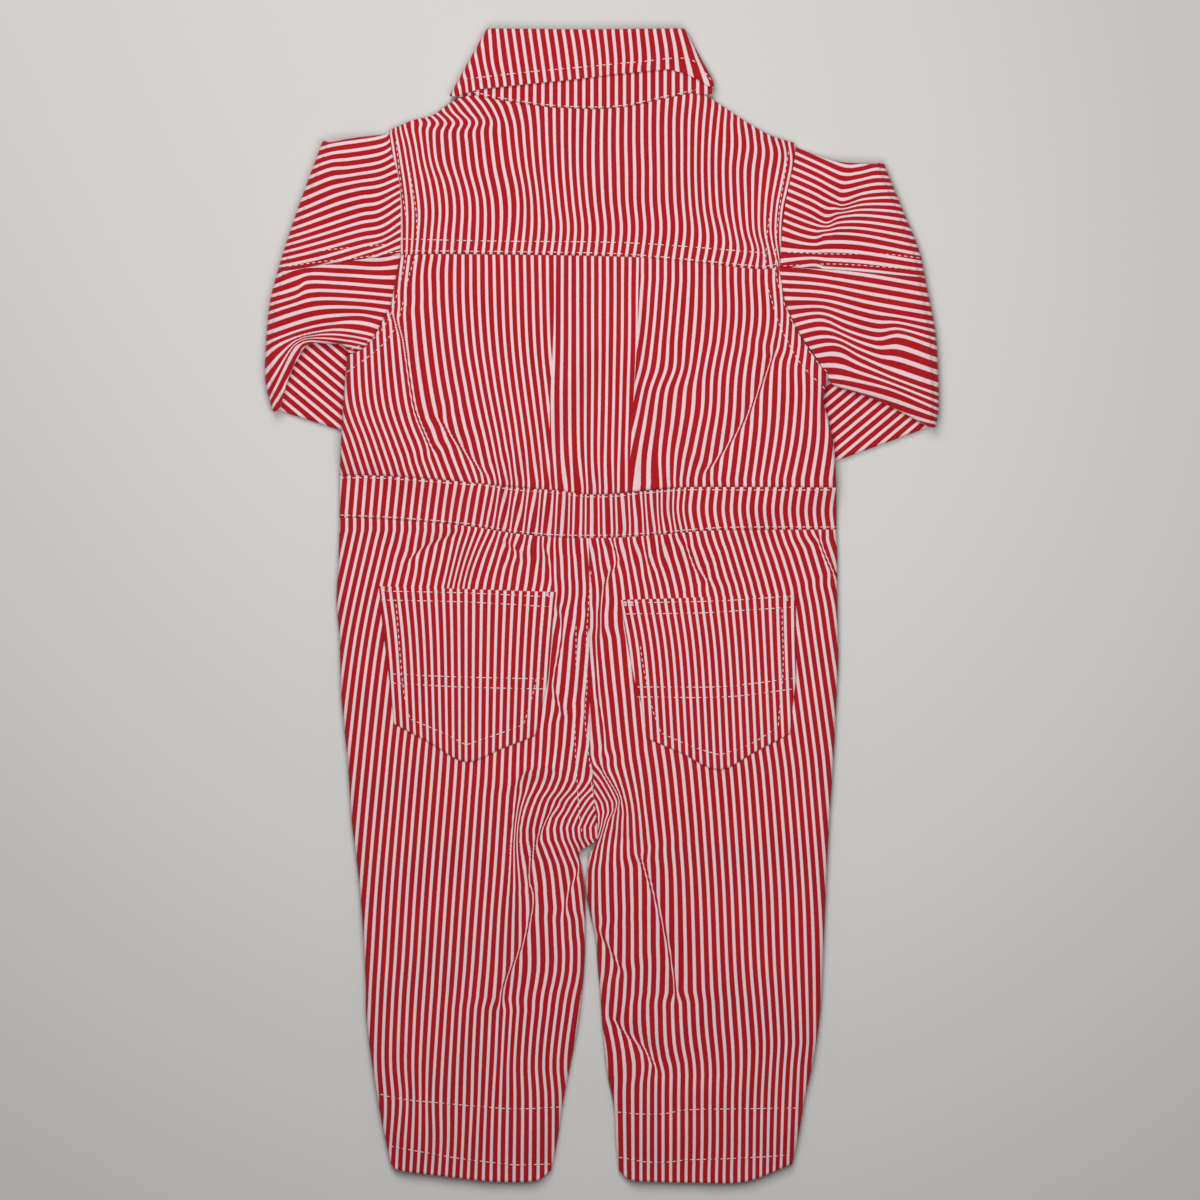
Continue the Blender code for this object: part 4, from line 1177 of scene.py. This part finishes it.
def add_sleeves():
    """Both sleeves, tucked in under the body at the armholes."""
    for side, sleeve in (("left", LEFT_SLEEVE), ("right", RIGHT_SLEEVE)):
        for part, over in (("over", True), ("under", False)):
            points = arm(sleeve, side == "right", over, N_ARM, 16, 60, N_SIDE)
            plan = points[:N_SIDE, :N_ARM, :2]
            points[:N_SIDE, :N_ARM, 2] += sleeve_relief(plan)
            tuck = points[:, 0] - points[:, 2]
            tuck[:, 2] = 0
            tuck /= np.linalg.norm(tuck, axis=-1, keepdims=True)
            points[:, 0] += tuck * SLEEVE_TUCK - (0, 0, SLEEVE_DROP)
            name = f"sleeve_{part}_{side}"
            stripes = sleeve_stripes(points, side, part)
            sew_cloth(name, points, [stripes], "folded")


LEAF_GRAIN = [
    (-8, [(440, 28), (448, 60), (452, 80), (456, 110)]),
    (-5, [(463, 28), (469, 60), (472.5, 80), (476, 110)]),
    (-2, [(489.5, 28), (492, 60), (496.5, 80), (500, 110)]),
    (0, [(504.5, 26), (509.5, 60), (512.5, 80), (516, 110)]),
    (4, [(537.5, 27), (541.5, 55), (545, 80), (549, 110)]),
    (9, [(579.5, 28), (583, 48), (586, 76), (588, 110)]),
    (12, [(604.5, 28), (607.5, 57), (608, 76), (609, 110)]),
    (16, [(637.5, 28), (640, 57), (639, 72), (640, 110)]),
    (20, [(671, 28), (675, 48), (677, 70), (680, 110)]),
    (22, [(687.5, 30), (697, 57), (703, 72), (716, 110)]),
]
STAND_GRAIN = [(-18, [(446, 20), (444, 140)]), (0, [(592, 20), (592, 140)]), (15, [(714, 20), (714, 140)])]
COLLAR_BACK = slice(55, 205)  # the columns that lie on the back


def collar_stripes(points, lines):
    """Stripes of a collar piece: by guide lines behind, even round to the front."""
    step = np.linalg.norm(np.diff(points[:, 12], axis=0), axis=-1) / COLLAR_REPEAT
    even = np.concatenate([[0], np.cumsum(step)])[:, None]
    seen = interpolate(points[COLLAR_BACK, :, :2], lines)
    first, last = COLLAR_BACK.start, COLLAR_BACK.stop
    return np.vstack([seen[0] + even[:first] - even[first], seen, seen[-1] + even[last:] - even[last - 1]])


def add_collar():
    """The collar's stand and its leaf, turned down over it."""
    stand = {"back": COLLAR_TOP - LAYER, "front": COLLAR_LOW + LAYER}
    points = collar(
        {"back": (FOLD_BACK, STAND_BACK), "front": (FOLD_FRONT, STAND_FRONT)}, stand, stand,
        [(t, 0.0021 * (1 - t) ** 3 + 0.0003 * (1 - t), 1) for t in np.linspace(0, 1, 30)], 150, 50, 0.0003)
    stripes = collar_stripes(points, STAND_GRAIN)
    sew_cloth("collar_stand", points, [stripes], "folded")
    rows = [(0, 0.0005, 0), (0, 0.0006, 0.3), (0, 0.0007, 0.6), (0, 0.0009, 0.85), (0, 0.0014, 1)]
    rows += [(t, 0.0014 - 0.0018 * t, 1) for t in np.linspace(0.04, 1, 36)]
    points = collar(
        {"back": (FOLD_BACK, LEAF_BACK), "front": (FOLD_FRONT, LEAF_FRONT)},
        {"back": COLLAR_TOP, "front": COLLAR_LOW}, stand, rows, 150, 50)
    stripes = collar_stripes(points, LEAF_GRAIN)
    sew_cloth("collar_leaf", points, [stripes], "folded")


# --------------------------------------------------------------- stitching
STITCHES = {
    "yoke": [
        [(402, 239), (490, 241), (599, 242), (651, 244), (705, 248), (741, 251), (778, 254)],
        [(397, 251), (449, 251), (599, 253), (651, 256), (705, 261), (759, 266), (778, 264)],
    ],
    "armholes": [
        [(396, 140), (401, 185), (407, 228), (405, 262), (398, 290), (389, 318), (374, 338), (350, 350)],
        [(407, 159), (416, 211), (416, 250), (409, 276), (401, 311), (395, 328), (379, 348), (346, 373)],
        [(789, 150), (780, 205), (776, 245), (776, 273), (781, 294), (791, 319), (812, 355), (828, 373)],
        [(779, 170), (769, 220), (766, 255), (767, 282), (772, 301), (778, 321), (789, 344),
         (801, 364), (826, 390)],
    ],
    "waistband": [
        [(339, 478), (376, 478), (422, 481), (459, 484), (489, 486), (515, 490), (556, 493), (589, 497),
         (620, 496), (636, 494), (684, 490), (732, 490), (837, 490)],
        [(339, 515), (385, 517), (441, 521), (478, 525), (515, 531), (561, 535), (620, 535), (636, 534),
         (675, 531), (713, 528), (751, 527), (837, 527)],
    ],
    "seat": [
        [(591, 570), (587, 628), (586, 653), (587, 686), (585, 719), (590, 766), (594, 811)],
        [(576, 625), (576, 670), (575, 736), (577, 779), (579, 811), (582, 833)],
    ],
    "pockets": [
        [(380, 591), (466, 593), (553, 597)], [(380, 600), (466, 602), (553, 607)],
        [(391, 674), (460, 677), (547, 679)], [(391, 683), (460, 687), (544, 689)],
        [(396, 603), (400, 653), (404, 694), (410, 719)], [(410, 719), (443, 733), (466, 745)],
        [(466, 745), (501, 733), (523, 725)], [(544, 610), (538, 670), (528, 711), (523, 725)],
        [(622, 603), (716, 601), (794, 596)], [(625, 614), (699, 613), (749, 610), (794, 607)],
        [(636, 687), (716, 687), (749, 684), (796, 678)], [(636, 697), (724, 697), (793, 689)],
        [(640, 645), (645, 676), (653, 711), (661, 733)], [(661, 733), (693, 747), (720, 755)],
        [(720, 755), (749, 745), (778, 727)], [(782, 608), (783, 670), (778, 727)],
    ],
    "bartacks": [
        [(x, y + step), (x + 13, y + step + slope)]
        for x, y, slope in ((380, 587, 0.4), (544, 592, 0.4), (622, 602, -0.2), (783, 597, -0.2))
        for step in (0, 1.2, 2.4, 3.6)
    ],
    "hems": [
        [(389, 1146), (416, 1151), (456, 1158), (496, 1163), (519, 1165), (551, 1164)],
        [(379, 1094), (400, 1099), (440, 1103), (484, 1107), (519, 1109), (561, 1107)],
        [(618, 1157), (646, 1162), (670, 1162), (686, 1160), (721, 1159), (762, 1157), (791, 1155)],
        [(616, 1112), (638, 1114), (663, 1114), (686, 1110), (729, 1109), (804, 1108)],
    ],
    "sleeves": [
        [(392, 244), (357, 247), (327, 250), (303, 254)], [(400, 251), (357, 258), (327, 261), (281, 267)],
        [(786, 252), (832, 254), (882, 254), (921, 258)], [(782, 266), (832, 264), (885, 267), (924, 270)],
    ],
    "collar": [
        [(457, 80), (528, 72), (583, 67), (637, 62), (689, 59), (712, 81)],
        [(473, 92), (507, 99), (550, 105), (594, 107), (626, 105), (658, 98), (700, 89)],
    ],
}


def surfaces():
    """The cloth as it stands, to find its top at a plan point."""
    depsgraph = bpy.context.evaluated_depsgraph_get()
    trees = []
    for name in CLOTH_NAMES:
        mesh = bpy.data.objects["cloth_" + name].evaluated_get(depsgraph).to_mesh()
        corners = [v.co[:] for v in mesh.vertices]
        trees.append(BVHTree.FromPolygons(corners, [p.vertices[:] for p in mesh.polygons]))
    return trees


def top_at(trees, point):
    """Height of the highest cloth at a plan point, or None where there is none."""
    start = Vector((point[0], point[1], 0.1))
    hits = [tree.ray_cast(start, Vector((0, 0, -1)))[0] for tree in trees]
    found = [hit.z for hit in hits if hit]
    return max(found) if found else None


def add_stitches():
    """Rows of stitches that lie on the highest cloth under their lines."""
    settings = bpy.context.scene.boiler_suit
    trees = surfaces()
    for group, lines in STITCHES.items():
        bm = bmesh.new()
        for line in lines:
            run = curve(line, np.linspace(0, 1, 200))
            length = np.linalg.norm(np.diff(run, axis=0), axis=1).sum()
            count = max(int(length / settings.stitch_pitch), 1)
            shares = (np.arange(count) + 0.5) / count
            half = settings.stitch_length / 2 / length
            for share in shares:
                pair = curve(line, [share - half, share + half])
                heights = [top_at(trees, p) for p in pair]
                if None in heights:
                    continue
                a, b = (Vector((p[0], p[1], h + STITCH_RISE)) for p, h in zip(pair, heights))
                way = b - a
                turn = way.to_track_quat("X", "Z").to_matrix().to_4x4()
                size = Matrix.Diagonal((way.length / 2, STITCH_WIDE, STITCH_HIGH, 1.0))
                bmesh.ops.create_uvsphere(
                    bm, u_segments=6, v_segments=4, radius=1.0,
                    matrix=Matrix.Translation((a + b) / 2) @ turn @ size)
        new_object(f"stitching_{group}", bm, bpy.data.materials["top_thread"], "thread")


# ------------------------------------------------------------- the surface
def add_stage():
    """The surface, two soft lights, the room's light and the camera."""
    settings = bpy.context.scene.boiler_suit
    bm = bmesh.new()
    bmesh.ops.create_grid(bm, x_segments=2, y_segments=2, size=6.0)
    mesh = bpy.data.meshes.new("floor")
    bm.to_mesh(mesh)
    bm.free()
    floor = bpy.data.objects.new("floor", mesh)
    bpy.context.scene.collection.objects.link(floor)
    mesh.materials.append(plain_material("pale_floor", settings.floor_colour, 0.8))
    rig.stage(floor)
    for name, power, size, place in (
        ("soft_window", settings.window_power, (0.7, 0.5), (-0.25, 0.75, 0.8)),
        ("ceiling", settings.ceiling_power, (0.5, 0.5), (0.05, 0.05, 0.6)),
    ):
        light = bpy.data.lights.new(name, "AREA")
        light.shape = "RECTANGLE"
        light.size, light.size_y = size
        light.energy = power
        lamp = bpy.data.objects.new(name, light)
        lamp.location = place
        lamp.rotation_euler = (Vector((0, 0.05, 0)) - lamp.location).to_track_quat("-Z", "Y").to_euler()
        bpy.context.scene.collection.objects.link(lamp)
    world = bpy.data.worlds.new("room")
    world.use_nodes = True
    world.node_tree.nodes["Background"].inputs["Color"].default_value = (0.98, 0.99, 1.0, 1.0)
    world.node_tree.nodes["Background"].inputs["Strength"].default_value = settings.room_light
    bpy.context.scene.world = world
    view = bpy.data.cameras.new("camera")
    view.type = "ORTHO"
    view.ortho_scale = PICTURE_SIDE * UNIT
    camera = bpy.data.objects.new("camera", view)
    camera.location = (-0.00078, 0.0026, 2.0)
    bpy.context.scene.collection.objects.link(camera)
    bpy.context.scene.camera = camera
    bpy.context.scene.view_settings.view_transform = "Standard"


CLOTH_NAMES = [
    "back_yoke", "back_body", "waistband_back", "seat_left", "seat_right", "pocket_left",
    "pocket_right", "sleeve_over_left", "sleeve_under_left", "sleeve_over_right",
    "sleeve_under_right", "collar_stand", "collar_leaf",
]


# --------------------------------------------------------------- materials
class Maths:
    """Shader sockets that add up like numbers."""

    def __init__(self, nodes, links, socket):
        self.nodes, self.links, self.socket = nodes, links, socket

    def node(self, kind, values=(), output=0, **settings):
        """Another node: its type, its settings first, then its values and links."""
        made = self.nodes.new(kind)
        for key, value in settings.items():
            setattr(made, key, value)
        for name, value in dict(values).items():
            if isinstance(value, Maths):
                self.links.new(value.socket, made.inputs[name])
            else:
                made.inputs[name].default_value = value
        return Maths(self.nodes, self.links, made.outputs[output])

    def maths(self, operation, *others):
        values = dict(enumerate((self, *others)))
        return self.node("ShaderNodeMath", values, operation=operation)

    def __add__(self, other):
        return self.maths("ADD", other)

    def __sub__(self, other):
        return self.maths("SUBTRACT", other)

    def __mul__(self, other):
        return self.maths("MULTIPLY", other)

    def __radd__(self, other):
        return self * 1.0 + other

    def __rmul__(self, other):
        return self.maths("MULTIPLY", other)

    def __rsub__(self, other):
        return self.maths("MULTIPLY_ADD", -1.0, other)


def plain_material(name, colour, roughness):
    material = bpy.data.materials.new(name)
    material.use_nodes = True
    surface = material.node_tree.nodes["Principled BSDF"]
    surface.inputs["Base Color"].default_value = (*colour, 1.0)
    surface.inputs["Roughness"].default_value = roughness
    return material


def add_materials():
    """Striped twill, whose stripes follow the stripes layer, and the thread."""
    settings = bpy.context.scene.boiler_suit
    plain_material("top_thread", settings.thread_colour, 0.8)
    twill = plain_material("twill", settings.red, 0.9)
    tree = twill.node_tree
    surface = tree.nodes["Principled BSDF"]
    surface.inputs["Sheen Weight"].default_value = 0.15
    surface.inputs["Sheen Roughness"].default_value = 0.5
    surface.inputs["Specular IOR Level"].default_value = 0.2
    start = Maths(tree.nodes, tree.links, None)
    uv = start.node("ShaderNodeUVMap", uv_map="stripes")
    u = uv.node("ShaderNodeSeparateXYZ", {0: uv})
    v = Maths(tree.nodes, tree.links, u.socket.node.outputs[1])
    cord = ((u + v) * 31.0).maths("SINE")
    wobble = uv.node("ShaderNodeTexNoise", {"Vector": uv, "Scale": 3.0, "Detail": 2.0}) - 0.5
    across = (u + wobble * 0.05 + cord * 0.006).maths("FRACT")
    from_middle = (across - 0.5).maths("ABSOLUTE")
    red = uv.node(
        "ShaderNodeMapRange",
        {"Value": from_middle, "From Min": 0.28, "From Max": 0.34, "To Min": 1.0, "To Max": 0.0},
        clamp=True, interpolation_type="SMOOTHSTEP")
    place = start.node("ShaderNodeTexCoord", output=3)
    wear = place.node("ShaderNodeTexNoise", {"Vector": place, "Scale": 34.0, "Detail": 3.0})
    deep = place.node(
        "ShaderNodeMix", {0: wear, 6: (*settings.deep_red, 1.0), 7: (*settings.red, 1.0)},
        output=2, data_type="RGBA")
    mixed = place.node(
        "ShaderNodeMix", {0: red, 6: (*settings.white, 1.0), 7: deep}, output=2, data_type="RGBA")
    tree.links.new(mixed.socket, surface.inputs["Base Color"])
    bump = place.node(
        "ShaderNodeBump", {"Strength": 0.25, "Distance": 0.0002, "Height": cord})
    tree.links.new(bump.socket, surface.inputs["Normal"])


# ------------------------------------------------------------- the add-on
class BoilerSuitSettings(bpy.types.PropertyGroup):
    red: bpy.props.FloatVectorProperty(
        name="Red", description="Red of the stripes", subtype="COLOR", default=(0.49, 0.006, 0.013))
    deep_red: bpy.props.FloatVectorProperty(
        name="Deep red", description="Red where the yarn is darker",
        subtype="COLOR", default=(0.37, 0.004, 0.010))
    white: bpy.props.FloatVectorProperty(
        name="White", description="White of the stripes",
        subtype="COLOR", default=(0.88, 0.64, 0.665))
    thread_colour: bpy.props.FloatVectorProperty(
        name="Thread", description="Colour of the top-stitching",
        subtype="COLOR", default=(0.90, 0.80, 0.80))
    floor_colour: bpy.props.FloatVectorProperty(
        name="Floor", description="Colour of the surface under it",
        subtype="COLOR", default=(0.70, 0.685, 0.665))
    stitch_pitch: bpy.props.FloatProperty(
        name="Stitch pitch", description="From one stitch to the next",
        unit="LENGTH", default=0.0031)
    stitch_length: bpy.props.FloatProperty(
        name="Stitch length", description="Length of a stitch that shows",
        unit="LENGTH", default=0.0023)
    window_power: bpy.props.FloatProperty(
        name="Window light", description="Power of the soft light from above the collar",
        unit="POWER", default=5.2)
    ceiling_power: bpy.props.FloatProperty(
        name="Ceiling light", description="Power of the soft light from straight above",
        unit="POWER", default=1.85)
    room_light: bpy.props.FloatProperty(
        name="Room light", description="Strength of the light from all round", default=0.22)


class BOILERSUIT_OT_materials(bpy.types.Operator):
    """Make the twill and the thread."""

    bl_idname = "boilersuit.materials"
    bl_label = "Materials"

    def execute(self, context):
        add_materials()
        return {"FINISHED"}


class BOILERSUIT_OT_back(bpy.types.Operator):
    """Sew the yoke, the back and its waistband."""

    bl_idname = "boilersuit.back"
    bl_label = "Back"

    def execute(self, context):
        add_back()
        return {"FINISHED"}


class BOILERSUIT_OT_seat(bpy.types.Operator):
    """Sew the seat, the backs of the legs and the pockets."""

    bl_idname = "boilersuit.seat"
    bl_label = "Seat and pockets"

    def execute(self, context):
        add_seat()
        return {"FINISHED"}


class BOILERSUIT_OT_front(bpy.types.Operator):
    """Sew the plain front that lies underneath."""

    bl_idname = "boilersuit.front"
    bl_label = "Front"

    def execute(self, context):
        add_front()
        return {"FINISHED"}


class BOILERSUIT_OT_sleeves(bpy.types.Operator):
    """Sew the folded sleeves."""

    bl_idname = "boilersuit.sleeves"
    bl_label = "Sleeves"

    def execute(self, context):
        add_sleeves()
        return {"FINISHED"}


class BOILERSUIT_OT_collar(bpy.types.Operator):
    """Sew the stand and the leaf of the collar."""

    bl_idname = "boilersuit.collar"
    bl_label = "Collar"

    def execute(self, context):
        add_collar()
        return {"FINISHED"}


class BOILERSUIT_OT_stitching(bpy.types.Operator):
    """Run the top-stitching over the cloth."""

    bl_idname = "boilersuit.stitching"
    bl_label = "Stitching"

    def execute(self, context):
        add_stitches()
        return {"FINISHED"}


class BOILERSUIT_OT_stage(bpy.types.Operator):
    """Add the surface, the light and the camera."""

    bl_idname = "boilersuit.stage"
    bl_label = "Surface and light"

    def execute(self, context):
        add_stage()
        return {"FINISHED"}


OPERATORS = [
    BOILERSUIT_OT_materials,
    BOILERSUIT_OT_back,
    BOILERSUIT_OT_seat,
    BOILERSUIT_OT_front,
    BOILERSUIT_OT_sleeves,
    BOILERSUIT_OT_collar,
    BOILERSUIT_OT_stitching,
    BOILERSUIT_OT_stage,
]


class BOILERSUIT_PT_panel(bpy.types.Panel):
    """Lists what the add-on makes."""

    bl_label = "Boiler suit"
    bl_idname = "BOILERSUIT_PT_panel"
    bl_space_type = "VIEW_3D"
    bl_region_type = "UI"
    bl_category = "Boiler suit"

    def draw(self, context):
        for operator in OPERATORS:
            self.layout.operator(operator.bl_idname)
        for name in BoilerSuitSettings.__annotations__:
            self.layout.prop(context.scene.boiler_suit, name)


CLASSES = [BoilerSuitSettings, *OPERATORS, BOILERSUIT_PT_panel]


def register():
    for item in CLASSES:
        bpy.utils.register_class(item)
    bpy.types.Scene.boiler_suit = bpy.props.PointerProperty(type=BoilerSuitSettings)


def unregister():
    del bpy.types.Scene.boiler_suit
    for item in reversed(CLASSES):
        bpy.utils.unregister_class(item)


def main():
    register()
    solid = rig.bounds()
    for operator in OPERATORS:
        group, name = operator.bl_idname.split(".")
        getattr(getattr(bpy.ops, group), name)()
    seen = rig.bounds()
    with open("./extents.json", "w") as out:
        json.dump({"solid": [list(c) for c in solid], "seen": [list(c) for c in seen]}, out)


if __name__ == "__main__":
    main()
